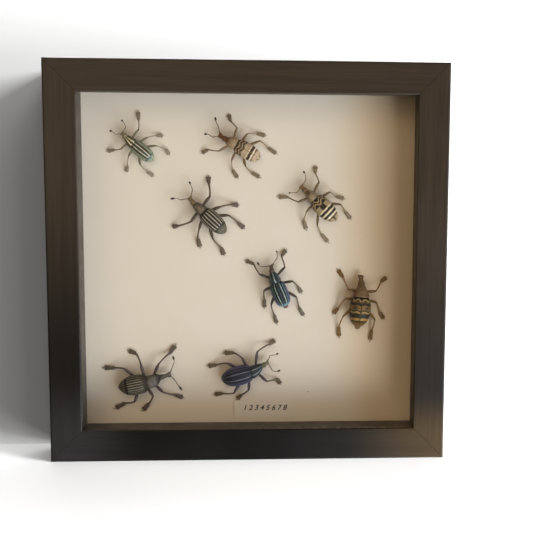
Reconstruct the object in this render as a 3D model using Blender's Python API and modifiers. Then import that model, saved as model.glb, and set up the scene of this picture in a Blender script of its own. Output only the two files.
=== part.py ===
"""A square, deep picture frame with eight dried weevils fixed behind its glass.

The frame stands upright. Its front faces -Y, +X is to the viewer's right, and the origin is the
middle of the underside. The pieces are placed by their depth behind the front, so an empty at
the front carries them all. Everything is in metres but the weevils' own sizes.
"""

import math

import bmesh
import bpy
from mathutils import Vector

MM = 0.001
GAP = 0.0003  # left between pieces that touch

# The moulding: four mitred rails with a rebate behind the sight edge.
FRAME_SIDE = 0.230
FRAME_DEPTH = 0.040
RAIL_WIDTH = 0.0183
LIP_DEPTH = 0.0048
REBATE_WIDTH = 0.0059
OUTER_EDGE_RADIUS = 0.0014
SIGHT_EDGE_RADIUS = 0.0007
EDGE_STEPS = 4
CENTRE_HEIGHT = FRAME_SIDE / 2
SIGHT_HALF = FRAME_SIDE / 2 - RAIL_WIDTH
REBATE_HALF = SIGHT_HALF + REBATE_WIDTH

# What lies in the rebate, from the glass to the back panel.
PANE_THICKNESS = 0.002
SHEET_CLEARANCE = 0.0006  # round the pane, the board and the panel
LINER_THICKNESS = 0.0025
LINER_INNER_HALF = 0.0990
LINER_SHIFT = 0.0006  # the lining sits a little to the right in its rebate
BOARD_FRONT = 0.028
BOARD_THICKNESS = 0.005
PANEL_THICKNESS = 0.003
SHEET_HALF = REBATE_HALF - SHEET_CLEARANCE
PANE_FRONT = LIP_DEPTH + GAP
LINER_FRONT = PANE_FRONT + PANE_THICKNESS + GAP
LINER_BACK = BOARD_FRONT - GAP
PANEL_FRONT = BOARD_FRONT + BOARD_THICKNESS + GAP
PANEL_BACK = PANEL_FRONT + PANEL_THICKNESS

# The paper label below the specimens.
LABEL_WIDTH = 0.0355
LABEL_HEIGHT = 0.0100
LABEL_THICKNESS = 0.0003
LABEL_X = 0.0087
LABEL_BELOW_CENTRE = 0.0908

# Steel tabs that hold the back panel in, and the hanger on it.
TAB_WIDTH = 0.008
TAB_REACH = 0.011
TAB_THICKNESS = 0.0006
TAB_OFFSET = 0.055  # from the middle of each rail
HANGER_LENGTH = 0.044
HANGER_HEIGHT = 0.009
HANGER_THICKNESS = 0.0008
HANGER_BELOW_TOP = 0.034
TOOTH_COUNT = 11
TOOTH_DEPTH = 0.0022
NAIL_SPREAD = 0.0185
NAIL_HEAD_RADIUS = 0.0020
NAIL_HEAD_HEIGHT = 0.0007
NAIL_SHANK_RADIUS = 0.0006
NAIL_HOLE_RADIUS = 0.0010
NAIL_DEPTH = 0.0018  # the shank's length below the head

# Weevils. Heights are above the board, and a body's section is flatter than round.
FLATTEN = 0.86
BELLY_CLEARANCE = 0.9
ELYTRA_PROFILE = (  # share of the length behind the waist, share of the half width
    (1.00, 0.10), (0.955, 0.34), (0.87, 0.60), (0.74, 0.84),
    (0.54, 0.99), (0.32, 0.99), (0.13, 0.90), (0.02, 0.72),
)
APEX_HEIGHT = 3.4
NECK_SHARE = 0.62  # share of the way from the waist to the head
NECK_RADIUS = 1.75
HEAD_RADIUS = 1.6
SNOUT_RADIUS = 1.15
SNOUT_TIP_RADIUS = 1.3
HEAD_HEIGHT = 4.4
SNOUT_TIP_HEIGHT = 3.2
HIP_OFFSETS = {"front": (3.0, 1.3), "middle": (-1.4, 2.0), "hind": (-5.4, 2.4)}
HIP_HEIGHT = 3.2
KNEE_HEIGHT = 5.4
ANKLE_HEIGHT = 1.5
FOOT_HEIGHT = 1.25
TOE_HEIGHT = 0.9
THIGH_RADIUS = 0.85
KNEE_RADIUS = 0.55
SHIN_RADIUS = 0.38
ANKLE_RADIUS = 0.50
FOOT_RADIUS = 0.90
TOE_RADIUS = 0.30
FEELER_RADIUS = 0.28
CLUB_RADIUS = 0.50
FEELER_HEIGHT = 3.6
PIN_RADIUS = 0.35
PIN_HOLE_RADIUS = 0.70
PIN_DEPTH = 3.4
PIN_HOLE_DEPTH = 3.8
PIN_SHARE = 0.2  # share of the elytra's length behind the waist

# One entry a weevil, in millimetres. "at" is the waist from the middle of the frame, right and
# up, and "heading" turns it from pointing right, anticlockwise. Points are (forward, left) of
# the waist: each leg has knee, ankle and toe, and a feeler its bends and its tip.
LEG_NAMES = ("front_left", "front_right", "middle_left", "middle_right", "hind_left", "hind_right")
WEEVILS = {
    "weevil_green_striped": dict(
        at=(-67.6, 69.1), heading=141, length=15.4, width=8.6, shoulder=0.80,
        head=(6.6, -0.5), snout=(9.8, -1.0),
        legs=(((3.6, 6.6), (7.0, 9.8), (10.0, 13.4)), ((2.8, -8.6), (6.8, -13.0), (10.4, -17.0)),
              ((-2.2, 7.2), (-5.0, 12.4), (-6.4, 16.0)), ((-4.0, -8.2), (-7.0, -12.4), (-10.0, -15.2)),
              ((-10.6, 6.8), (-16.0, 7.6), (-20.6, 7.2)), ((-10.6, -7.4), (-16.2, -9.8), (-19.8, -8.2))),
        feelers=(((11.6, 2.2), (13.8, 2.0), (15.8, 2.6)), ((9.6, -5.0), (12.6, -6.4), (14.2, -6.6))),
        colour=(0.030, 0.050, 0.035),
    ),
    "weevil_rusty_headed": dict(
        at=(-7.4, 69.2), heading=150, length=16.2, width=9.6, shoulder=0.62,
        head=(7.4, 0.4), snout=(12.0, 0.0),
        legs=(((7.0, 8.4), (13.2, 10.8), (15.6, 14.8)), ((4.4, -8.6), (10.0, -10.4), (13.0, -13.8)),
              ((-2.2, 9.2), (-5.4, 13.8), (-10.8, 16.6)), ((-2.6, -9.0), (-7.2, -12.0), (-12.6, -13.8)),
              ((-10.8, 8.0), (-15.8, 9.4), (-22.2, 9.4)), ((-11.0, -9.0), (-17.0, -8.0), (-23.8, -7.8))),
        feelers=(((14.2, 3.2), (17.4, 3.0), (19.6, 4.2)), ((14.4, -4.0), (16.8, -5.4), (18.8, -7.8))),
        colour=(0.110, 0.085, 0.060),
    ),
    "weevil_grey_ribbed": dict(
        at=(-26.8, 29.5), heading=137, length=17.8, width=10.6, shoulder=0.68,
        head=(8.4, 0.2), snout=(12.4, -0.6),
        legs=(((1.6, 9.0), (5.8, 16.6), (8.2, 19.6)), ((3.6, -9.4), (9.6, -14.6), (12.8, -17.8)),
              ((-4.8, 9.2), (-8.2, 14.0), (-13.0, 17.4)), ((-4.8, -8.8), (-9.2, -14.8), (-12.6, -17.4)),
              ((-14.6, 7.8), (-22.2, 8.6), (-26.6, 11.0)), ((-11.8, -8.6), (-19.2, -9.2), (-24.6, -9.4))),
        feelers=(((15.0, 4.2), (17.2, 4.8), (19.8, 7.8)), ((13.6, -5.0), (16.4, -6.6), (18.6, -7.4))),
        colour=(0.055, 0.050, 0.042),
    ),
    "weevil_white_banded": dict(
        at=(39.3, 37.3), heading=137, length=18.0, width=10.8, shoulder=0.62,
        head=(8.0, 0.0), snout=(11.8, -0.2),
        legs=(((6.2, 7.8), (12.8, 10.0), (17.2, 14.2)), ((5.2, -9.0), (10.6, -11.8), (13.2, -15.4)),
              ((-1.4, 8.6), (-4.0, 13.6), (-9.4, 16.6)), ((-3.4, -9.2), (-8.4, -10.2), (-13.4, -13.0)),
              ((-11.4, 10.0), (-17.4, 12.2), (-24.4, 13.0)), ((-13.2, -8.4), (-18.6, -7.4), (-24.6, -6.6))),
        feelers=(((10.6, 4.4), (13.0, 6.8), (14.0, 7.8)), ((11.8, -4.8), (14.4, -7.2), (16.6, -7.4))),
        colour=(0.100, 0.090, 0.065),
    ),
    "weevil_blue_striped": dict(
        at=(16.0, -12.4), heading=113, length=15.6, width=10.0, shoulder=0.76,
        head=(7.4, -0.6), snout=(11.0, -2.0),
        legs=(((8.4, 7.0), (15.2, 7.8), (19.2, 11.8)), ((6.4, -8.6), (13.0, -9.4), (15.6, -14.0)),
              ((-1.8, 8.4), (-7.2, 10.2), (-12.4, 12.6)), ((-3.2, -9.6), (-8.6, -11.6), (-12.8, -12.0)),
              ((-11.4, 7.8), (-18.4, 8.4), (-24.4, 9.2)), ((-12.8, -8.0), (-20.0, -7.0), (-26.4, -8.0))),
        feelers=(((11.4, 2.8), (12.6, 5.0), (15.6, 5.4)), ((13.2, -6.6), (15.8, -7.8), (17.4, -7.8))),
        colour=(0.020, 0.035, 0.055),
    ),
    "weevil_yellow_banded": dict(
        at=(67.6, -21.0), heading=85, length=19.8, width=11.4, shoulder=0.84,
        head=(8.0, 0.4), snout=(13.0, 1.2),
        legs=(((3.6, 7.8), (10.8, 11.6), (15.0, 15.2)), ((4.0, -8.6), (10.0, -11.8), (13.0, -15.6)),
              ((-2.2, 9.4), (-8.4, 12.6), (-12.8, 15.6)), ((-2.6, -9.6), (-9.0, -13.0), (-13.2, -16.4)),
              ((-12.6, 9.4), (-20.0, 11.2), (-26.8, 10.2)), ((-13.2, -9.8), (-20.4, -9.2), (-27.4, -8.8))),
        feelers=(),
        colour=(0.090, 0.065, 0.030),
    ),
    "weevil_brown_ribbed": dict(
        at=(-61.2, -72.7), heading=11, length=18.2, width=12.2, shoulder=0.62,
        head=(9.2, 1.4), snout=(14.6, 1.8),
        legs=(((8.8, 9.6), (16.4, 14.4), (21.0, 18.6)), ((7.8, -7.6), (14.4, -11.6), (19.0, -14.6)),
              ((-1.6, 11.4), (-3.6, 18.0), (-8.4, 20.8)), ((1.6, -9.0), (-2.6, -13.8), (-7.4, -17.6)),
              ((-12.0, 11.0), (-18.2, 12.0), (-25.2, 13.2)), ((-9.8, -10.0), (-16.4, -10.6), (-23.6, -12.8))),
        feelers=(((15.4, 4.4), (18.2, 9.0), (18.0, 12.6)), ((16.0, -1.8), (17.2, -5.0), (19.2, -9.4))),
        colour=(0.045, 0.040, 0.035),
    ),
    "weevil_navy_striped": dict(
        at=(1.2, -66.8), heading=15, length=18.6, width=12.2, shoulder=0.68,
        head=(8.6, 2.0), snout=(11.8, 3.2),
        legs=(((6.8, 11.0), (14.8, 13.0), (19.6, 14.4)), ((7.6, -8.0), (14.0, -8.8), (15.4, -13.2)),
              ((-2.8, 9.4), (-7.2, 13.6), (-13.6, 15.0)), ((-4.2, -10.2), (-9.6, -12.8), (-13.2, -15.0)),
              ((-12.4, 9.0), (-19.6, 9.2), (-25.2, 9.6)), ((-13.4, -9.8), (-20.6, -8.8), (-25.8, -8.2))),
        feelers=(((13.6, 6.4), (16.8, 6.0), (19.0, 6.4)), ((12.6, -3.0), (14.8, -4.2), (17.4, -4.0))),
        colour=(0.022, 0.024, 0.070),
    ),
}


# ---- helpers ----

def clear_scene():
    for obj in list(bpy.data.objects):
        bpy.data.objects.remove(obj)


def new_collection(name):
    collection = bpy.data.collections.new(name)
    bpy.context.scene.collection.children.link(collection)
    return collection


def new_material(name, colour, roughness, metallic=0.0):
    material = bpy.data.materials.new(name)
    material.use_nodes = True
    shader = material.node_tree.nodes["Principled BSDF"]
    shader.inputs["Base Color"].default_value = (*colour, 1.0)
    shader.inputs["Roughness"].default_value = roughness
    shader.inputs["Metallic"].default_value = metallic
    return material


def add_object(name, mesh, collection, material=None):
    obj = bpy.data.objects.new(name, mesh)
    collection.objects.link(obj)
    if material:
        obj.data.materials.append(material)
    return obj


def hide_helper(obj):
    obj.hide_render = True
    obj.display_type = "WIRE"


def mesh_from(name, build):
    mesh = bpy.data.meshes.new(name)
    shape = bmesh.new()
    build(shape)
    shape.to_mesh(mesh)
    shape.free()
    return mesh


def box_mesh(name, size):
    def build(shape):
        bmesh.ops.create_cube(shape, size=1.0)
        bmesh.ops.scale(shape, vec=size, verts=shape.verts)
    return mesh_from(name, build)


def cylinder_mesh(name, radius, depth, sides):
    """A cylinder along Z, centred on its own origin."""
    def build(shape):
        bmesh.ops.create_cone(
            shape, cap_ends=True, segments=sides, radius1=radius, radius2=radius, depth=depth
        )
    return mesh_from(name, build)


def curve_to_mesh(curve):
    """The curve's own shape as a mesh, with its caps welded on."""
    holder = bpy.data.objects.new(curve.name, curve)
    bpy.context.scene.collection.objects.link(holder)
    graph = bpy.context.evaluated_depsgraph_get()
    mesh = bpy.data.meshes.new_from_object(holder.evaluated_get(graph))
    bpy.data.objects.remove(holder)
    bpy.data.curves.remove(curve)
    shape = bmesh.new()
    shape.from_mesh(mesh)
    bmesh.ops.remove_doubles(shape, verts=shape.verts, dist=1e-6)
    bmesh.ops.recalc_face_normals(shape, faces=shape.faces)
    shape.to_mesh(mesh)
    shape.free()
    return mesh


def poly_curve(name, points, closed=False, flat=False):
    curve = bpy.data.curves.new(name, "CURVE")
    curve.dimensions = "2D" if flat else "3D"
    spline = curve.splines.new("POLY")
    spline.points.add(len(points) - 1)
    spline.use_cyclic_u = closed
    for target, point in zip(spline.points, points):
        target.co = (*point, 0.0, 1.0) if flat else (*point, 1.0)
    return curve


def plate_mesh(name, outline, thickness):
    """A flat outline in X and Y, filled and given a thickness along Z."""
    curve = poly_curve(name, outline, closed=True, flat=True)
    curve.fill_mode = "BOTH"
    curve.extrude = thickness / 2
    return curve_to_mesh(curve)


def tube_mesh(name, points, resolution):
    """A tapered tube through (x, y, z, radius) points in millimetres."""
    curve = poly_curve(name, [Vector(point[:3]) * MM for point in points])
    curve.bevel_depth = MM
    curve.bevel_resolution = resolution
    curve.use_fill_caps = True
    curve.twist_mode = "Z_UP"
    for target, point in zip(curve.splines[0].points, points):
        target.radius = point[3]
    return curve_to_mesh(curve)


# ---- the frame ----

def arc(centre, radius, start, end):
    """Points of an arc, with its angles in degrees."""
    angles = [math.radians(start + (end - start) * i / EDGE_STEPS) for i in range(EDGE_STEPS + 1)]
    return [(centre[0] + radius * math.cos(a), centre[1] + radius * math.sin(a)) for a in angles]


def rail_profile():
    """The moulding's section as (inset from the outer side, depth from the front)."""
    outer = OUTER_EDGE_RADIUS
    sight = SIGHT_EDGE_RADIUS
    wall = RAIL_WIDTH - REBATE_WIDTH
    return [
        *arc((outer, outer), outer, 180, 270),
        *arc((RAIL_WIDTH - sight, sight), sight, -90, 0),
        (RAIL_WIDTH, LIP_DEPTH),
        (wall, LIP_DEPTH),
        (wall, FRAME_DEPTH),
        (0.0, FRAME_DEPTH),
    ]


def rail_mesh():
    """One rail along X, its outer side facing -Z, with both ends mitred."""
    mesh = plate_mesh("rail", rail_profile(), FRAME_SIDE)
    for vertex in mesh.vertices:
        inset, depth, along = vertex.co
        end = math.copysign(FRAME_SIDE / 2 - inset - GAP / 2, along)
        vertex.co = (end, depth, inset - FRAME_SIDE / 2)
    return mesh


def face_outwards(mesh):
    shape = bmesh.new()
    shape.from_mesh(mesh)
    bmesh.ops.recalc_face_normals(shape, faces=shape.faces)
    shape.to_mesh(mesh)
    shape.free()


def add_rails(collection):
    material = new_material("dark_brown_moulding", (0.045, 0.034, 0.027), 0.40)
    mesh = rail_mesh()
    face_outwards(mesh)
    for turn, side in enumerate(("bottom", "left", "top", "right")):
        rail = add_object(f"frame_rail_{side}", mesh, collection)
        rail.location.z = CENTRE_HEIGHT
        rail.rotation_euler.y = turn * math.pi / 2
    mesh.materials.append(material)


def add_sheet(name, collection, material, half, front, thickness):
    sheet = add_object(name, box_mesh(name, (2 * half, thickness, 2 * half)), collection, material)
    sheet.location = (0.0, front + thickness / 2, CENTRE_HEIGHT)
    return sheet


def add_liner(collection):
    """Four strips that line the rebate between the pane and the board."""
    material = new_material("dark_liner", (0.060, 0.050, 0.042), 0.55)
    depth = LINER_BACK - LINER_FRONT
    middle = (LINER_FRONT + LINER_BACK) / 2
    offset = LINER_INNER_HALF + LINER_THICKNESS / 2
    tall = 2 * (LINER_INNER_HALF + LINER_THICKNESS)
    upright = box_mesh("liner_upright", (LINER_THICKNESS, depth, tall))
    level = box_mesh("liner_level", (2 * (LINER_INNER_HALF - GAP), depth, LINER_THICKNESS))
    for side, mesh, x, z in (
        ("left", upright, -offset, 0.0),
        ("right", upright, offset, 0.0),
        ("bottom", level, 0.0, -offset),
        ("top", level, 0.0, offset),
    ):
        strip = add_object(f"liner_{side}", mesh, collection)
        strip.location = (x + LINER_SHIFT, middle, CENTRE_HEIGHT + z)
    upright.materials.append(material)
    level.materials.append(material)


def add_label(collection):
    material = new_material("label_paper", (0.66, 0.58, 0.46), 0.85)
    size = (LABEL_WIDTH, LABEL_THICKNESS, LABEL_HEIGHT)
    label = add_object("specimen_label", box_mesh("specimen_label", size), collection, material)
    label.location.x = LABEL_X
    label.location.y = BOARD_FRONT - GAP - LABEL_THICKNESS / 2
    label.location.z = CENTRE_HEIGHT - LABEL_BELOW_CENTRE


# ---- the back ----

def tab_outline():
    """A tab's outline: square at its root and round at its free end."""
    half = TAB_WIDTH / 2
    neck = TAB_REACH - half
    angles = [math.radians(90 - 180 * i / 8) for i in range(9)]
    nose = [(neck + half * math.cos(a), half * math.sin(a)) for a in angles]
    return [(0.0, half), *nose, (0.0, -half)]


def add_tabs(collection):
    """Two flat tabs on each rail, which reach over the back panel."""
    material = new_material("tab_steel", (0.35, 0.34, 0.33), 0.35, 1.0)
    mesh = plate_mesh("retaining_tab", tab_outline(), TAB_THICKNESS)
    mesh.materials.append(material)
    root = REBATE_HALF - GAP
    depth = PANEL_BACK + GAP + TAB_THICKNESS / 2
    number = 0
    for turn in range(4):
        angle = turn * math.pi / 2
        inward = Vector((math.cos(angle), 0.0, math.sin(angle)))
        along = Vector((-math.sin(angle), 0.0, math.cos(angle)))
        for offset in (-TAB_OFFSET, TAB_OFFSET):
            number += 1
            tab = add_object(f"retaining_tab_{number}", mesh, collection)
            tab.location = along * offset - inward * root
            tab.location.y = depth
            tab.location.z += CENTRE_HEIGHT
            tab.rotation_euler = (math.pi / 2, -angle, 0.0)


def hanger_outline():
    """A strip with saw teeth along its lower edge, centred on its own middle."""
    half = HANGER_LENGTH / 2
    top = HANGER_HEIGHT / 2
    pitch = HANGER_LENGTH * 0.5 / TOOTH_COUNT
    first = -pitch * TOOTH_COUNT / 2
    points = [(-half, top), (-half, -top)]
    for i in range(TOOTH_COUNT):
        points.append((first + i * pitch, -top))
        points.append((first + (i + 0.5) * pitch, -top + TOOTH_DEPTH))
    points += [(-first, -top), (half, -top), (half, top)]
    return points


def add_hanger(collection, cutters):
    material = new_material("hanger_brass", (0.55, 0.42, 0.20), 0.35, 1.0)
    height = FRAME_SIDE - HANGER_BELOW_TOP
    front = PANEL_BACK + GAP
    mesh = plate_mesh("hanger_plate", hanger_outline(), HANGER_THICKNESS)
    plate = add_object("hanger_plate", mesh, collection, material)
    plate.location = (0.0, front + HANGER_THICKNESS / 2, height)
    plate.rotation_euler.x = math.pi / 2
    panel = bpy.data.objects["back_panel"]
    for number, x in enumerate((-NAIL_SPREAD, NAIL_SPREAD), 1):
        head_front = front + HANGER_THICKNESS + GAP
        nail = add_nail(f"hanger_nail_{number}", collection, material)
        nail.location = (x, head_front, height)
        hole = add_object(
            f"nail_hole_{number}",
            cylinder_mesh("nail_hole", NAIL_HOLE_RADIUS, 2 * NAIL_DEPTH + 2 * MM, 12),
            cutters,
        )
        hole.location = (x, head_front, height)
        hole.rotation_euler.x = math.pi / 2
        hide_helper(hole)
        for target in (plate, panel):
            cut(target, hole)


def add_nail(name, collection, material):
    """A flat-headed nail whose shank points to -Y, with its origin under the head."""
    profile = (
        (0.0, -NAIL_DEPTH),
        (NAIL_SHANK_RADIUS, -NAIL_DEPTH),
        (NAIL_SHANK_RADIUS, 0.0),
        (NAIL_HEAD_RADIUS, 0.0),
        (NAIL_HEAD_RADIUS * 0.8, NAIL_HEAD_HEIGHT),
        (0.0, NAIL_HEAD_HEIGHT),
    )
    mesh = bpy.data.meshes.new(name)
    points = [(radius, 0.0, height) for radius, height in reversed(profile)]
    mesh.from_pydata(points, [(i, i + 1) for i in range(len(points) - 1)], [])
    nail = add_object(name, mesh, collection, material)
    nail.rotation_euler.x = -math.pi / 2
    screw = nail.modifiers.new("turn", "SCREW")
    screw.steps = 12
    screw.render_steps = 12
    screw.use_merge_vertices = True
    screw.merge_threshold = 0.00001
    return nail


def cut(target, cutter):
    boolean = target.modifiers.new(cutter.name, "BOOLEAN")
    boolean.operation = "DIFFERENCE"
    boolean.object = cutter


# ---- the weevils ----

def body_points(weevil):
    """(forward, left, up, radius) along the body, from the tip of the elytra to the snout."""
    half = weevil["width"] / 2
    middle = half * FLATTEN + BELLY_CLEARANCE
    head_x, head_y = weevil["head"]
    snout_x, snout_y = weevil["snout"]
    points = []
    for share, radius in ELYTRA_PROFILE:
        rise = min(1.0, (1.0 - share) / 0.4)
        height = APEX_HEIGHT + (middle - APEX_HEIGHT) * math.sin(rise * math.pi / 2)
        points.append((-share * weevil["length"], 0.0, height, radius * half))
    shoulder = weevil["shoulder"] * half
    points += [
        (0.6, 0.0, middle, shoulder * 0.94),
        (head_x * 0.25, head_y * 0.1, middle, shoulder),
        (head_x * NECK_SHARE, head_y * 0.5, middle * 0.97, (shoulder + NECK_RADIUS) * 0.52),
        (head_x * 0.86, head_y * 0.8, HEAD_HEIGHT, NECK_RADIUS),
        (head_x + 0.6, head_y, HEAD_HEIGHT, HEAD_RADIUS),
        ((head_x + snout_x) / 2 + 0.3, (head_y + snout_y) / 2, HEAD_HEIGHT - 0.5, SNOUT_RADIUS),
        (snout_x - 0.5, snout_y, SNOUT_TIP_HEIGHT, SNOUT_TIP_RADIUS),
        (snout_x, snout_y, SNOUT_TIP_HEIGHT - 0.2, SNOUT_TIP_RADIUS * 0.7),
    ]
    return points


def body_mesh(name, weevil):
    """The body is a round tapered tube, pressed flatter."""
    points = [(x, y, z / FLATTEN, radius) for x, y, z, radius in body_points(weevil)]
    mesh = tube_mesh(name, points, 4)
    for vertex in mesh.vertices:
        vertex.co.z *= FLATTEN
    return mesh


def between(a, b, share):
    return tuple(p + (q - p) * share for p, q in zip(a, b))


def leg_points(name, bends):
    pair, side = name.split("_")
    forward, left = HIP_OFFSETS[pair]
    hip = (forward, left if side == "left" else -left, HIP_HEIGHT)
    knee, ankle, toe = bends
    knee = (*knee, KNEE_HEIGHT)
    ankle = (*ankle, ANKLE_HEIGHT)
    foot = (*between(ankle[:2], toe, 0.6), FOOT_HEIGHT)
    return [
        (*hip, KNEE_RADIUS),
        (*between(hip, knee, 0.7), THIGH_RADIUS),
        (*knee, KNEE_RADIUS),
        (*between(knee, ankle, 0.3), SHIN_RADIUS),
        (*ankle, ANKLE_RADIUS),
        (*foot, FOOT_RADIUS),
        (*toe, TOE_HEIGHT, TOE_RADIUS),
    ]


def feeler_points(weevil, bends):
    """A feeler starts inside the snout and ends in a small club."""
    head_x, head_y = weevil["head"]
    snout_x, snout_y = weevil["snout"]
    root = between((head_x, head_y), (snout_x, snout_y), 0.8)
    points = [(*root, SNOUT_TIP_HEIGHT, FEELER_RADIUS)]
    points += [(*bend, FEELER_HEIGHT, FEELER_RADIUS) for bend in bends[:-1]]
    points.append((*between(bends[-2], bends[-1], 0.6), FEELER_HEIGHT, CLUB_RADIUS))
    points.append((*bends[-1], FEELER_HEIGHT, FEELER_RADIUS))
    return points


def pin_points(weevil):
    """The mounting pin runs from inside the body down into the board."""
    x = -PIN_SHARE * weevil["length"]
    return [(x, 0.0, HIP_HEIGHT, PIN_RADIUS), (x, 0.0, -PIN_DEPTH, PIN_RADIUS)]


def limb_meshes(weevil):
    """The legs, the feelers and the pin, each as a mesh."""
    for name, bends in zip(LEG_NAMES, weevil["legs"]):
        yield tube_mesh(f"{name}_leg", leg_points(name, bends), 1)
    for bends in weevil["feelers"]:
        yield tube_mesh("feeler", feeler_points(weevil, bends), 0)
    yield tube_mesh("mounting_pin", pin_points(weevil), 1)


def add_weevil(name, weevil, collection, helpers):
    material = new_material(name, weevil["colour"], 0.45)
    body = add_object(name, body_mesh(name, weevil), collection, material)
    for number, mesh in enumerate(limb_meshes(weevil), 1):
        limb = add_object(f"{name}.limb_{number}", mesh, helpers)
        limb.parent = body
        hide_helper(limb)
        union = body.modifiers.new(limb.name, "BOOLEAN")
        union.operation = "UNION"
        union.object = limb
    right, up = weevil["at"]
    body.location = (right * MM, BOARD_FRONT, CENTRE_HEIGHT + up * MM)
    body.rotation_euler = (math.pi / 2, -math.radians(weevil["heading"]), 0.0)
    return body


def add_pin_hole(body, weevil, board, cutters):
    depth = PIN_HOLE_DEPTH * MM
    hole = add_object(
        f"{body.name}.pin_hole", cylinder_mesh("pin_hole", PIN_HOLE_RADIUS * MM, 2 * depth, 12), cutters
    )
    hole.parent = body
    hole.location.x = -PIN_SHARE * weevil["length"] * MM
    hide_helper(hole)
    cut(board, hole)


def move_origin_to_the_middle(name):
    """Hangs every piece from an empty at the front, half the depth before the origin."""
    front = bpy.data.objects.new(name, None)
    bpy.context.scene.collection.objects.link(front)
    for obj in bpy.data.objects:
        if obj is not front and not obj.parent:
            obj.parent = front
    front.location.y = -FRAME_DEPTH / 2


def main():
    clear_scene()
    collection = new_collection("framed_weevil_display")
    helpers = new_collection("cutters_and_limbs")
    add_rails(collection)
    glass = new_material("glass", (0.90, 0.93, 0.92), 0.02)
    paper = new_material("cream_board", (0.62, 0.54, 0.42), 0.85)
    panel = new_material("back_panel", (0.16, 0.10, 0.06), 0.75)
    add_sheet("glass_pane", collection, glass, SHEET_HALF, PANE_FRONT, PANE_THICKNESS)
    add_liner(collection)
    board = add_sheet("backing_board", collection, paper, SHEET_HALF, BOARD_FRONT, BOARD_THICKNESS)
    add_label(collection)
    add_sheet("back_panel", collection, panel, SHEET_HALF, PANEL_FRONT, PANEL_THICKNESS)
    add_tabs(collection)
    add_hanger(collection, helpers)
    for name, weevil in WEEVILS.items():
        body = add_weevil(name, weevil, collection, helpers)
        add_pin_hole(body, weevil, board, helpers)
    move_origin_to_the_middle("front")


main()
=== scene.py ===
"""Dresses a deep, glazed insect frame: mitred rails, pane, lining, board, label, back and weevils.

The glazed front faces -Y and +Z is up. Sizes are in metres, apart from the weevils' tables,
which are in millimetres and share one set of places with the solids that they replace.
"""

import math

import bmesh
import bpy
import numpy as np
from mathutils import Color, Matrix, Vector


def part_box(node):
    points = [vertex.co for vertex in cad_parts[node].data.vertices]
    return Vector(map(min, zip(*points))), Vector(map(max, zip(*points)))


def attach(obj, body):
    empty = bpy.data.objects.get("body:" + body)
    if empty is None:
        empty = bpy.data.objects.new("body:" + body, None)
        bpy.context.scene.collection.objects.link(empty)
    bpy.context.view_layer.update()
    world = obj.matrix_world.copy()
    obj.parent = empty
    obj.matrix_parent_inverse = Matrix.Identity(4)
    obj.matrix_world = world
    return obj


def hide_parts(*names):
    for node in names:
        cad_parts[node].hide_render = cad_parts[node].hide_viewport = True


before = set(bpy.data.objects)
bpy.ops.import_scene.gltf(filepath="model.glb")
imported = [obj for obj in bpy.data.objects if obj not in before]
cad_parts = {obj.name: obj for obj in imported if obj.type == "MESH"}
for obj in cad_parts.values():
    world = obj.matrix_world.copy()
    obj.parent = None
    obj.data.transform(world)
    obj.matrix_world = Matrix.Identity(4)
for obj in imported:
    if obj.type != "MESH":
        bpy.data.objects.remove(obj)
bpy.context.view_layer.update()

bl_info = {
    "name": "Framed weevil display",
    "version": (1, 0, 0),
    "blender": (4, 5, 0),
    "location": "3D View > Sidebar > Display",
    "description": "Builds the looks of a glazed display frame with eight mounted weevils",
    "category": "Object",
}

MM = 0.001
UPRIGHT = (math.pi / 2, 0.0, 0.0)  # stands a sheet made flat on its edge, facing the front
SIDES = ("bottom", "left", "top", "right")
RAIL_LOW, RAIL_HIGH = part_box("frame_rail_bottom")
FRONT, BACK = RAIL_LOW.y, RAIL_HIGH.y
SIDE = RAIL_HIGH.x - RAIL_LOW.x
CENTRE = Vector((0.0, 0.0, SIDE / 2))
BOARD_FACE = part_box("backing_board")[0].y
LABEL_LOW, LABEL_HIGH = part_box("specimen_label")


def tint(red, green, blue):
    """A colour read off as 0 to 255, as the linear colour that a shader takes."""
    parts = []
    for level in (red, green, blue):
        share = level / 255
        parts.append(share / 12.92 if share <= 0.04045 else ((share + 0.055) / 1.055) ** 2.4)
    return (*parts, 1.0)


# ---- settings ----

def colour_setting(name, description, default):
    return bpy.props.FloatVectorProperty(
        name=name, description=description, default=default[:3], size=3, min=0.0, max=1.0,
        subtype="COLOR",
    )


def length_setting(name, description, millimetres):
    return bpy.props.FloatProperty(
        name=name, description=description, default=millimetres * MM, min=0.0, precision=5,
        subtype="DISTANCE", unit="LENGTH",
    )


def number_setting(name, description, default, **more):
    return bpy.props.FloatProperty(
        name=name, description=description, default=default, min=0.0, **more
    )


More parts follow.
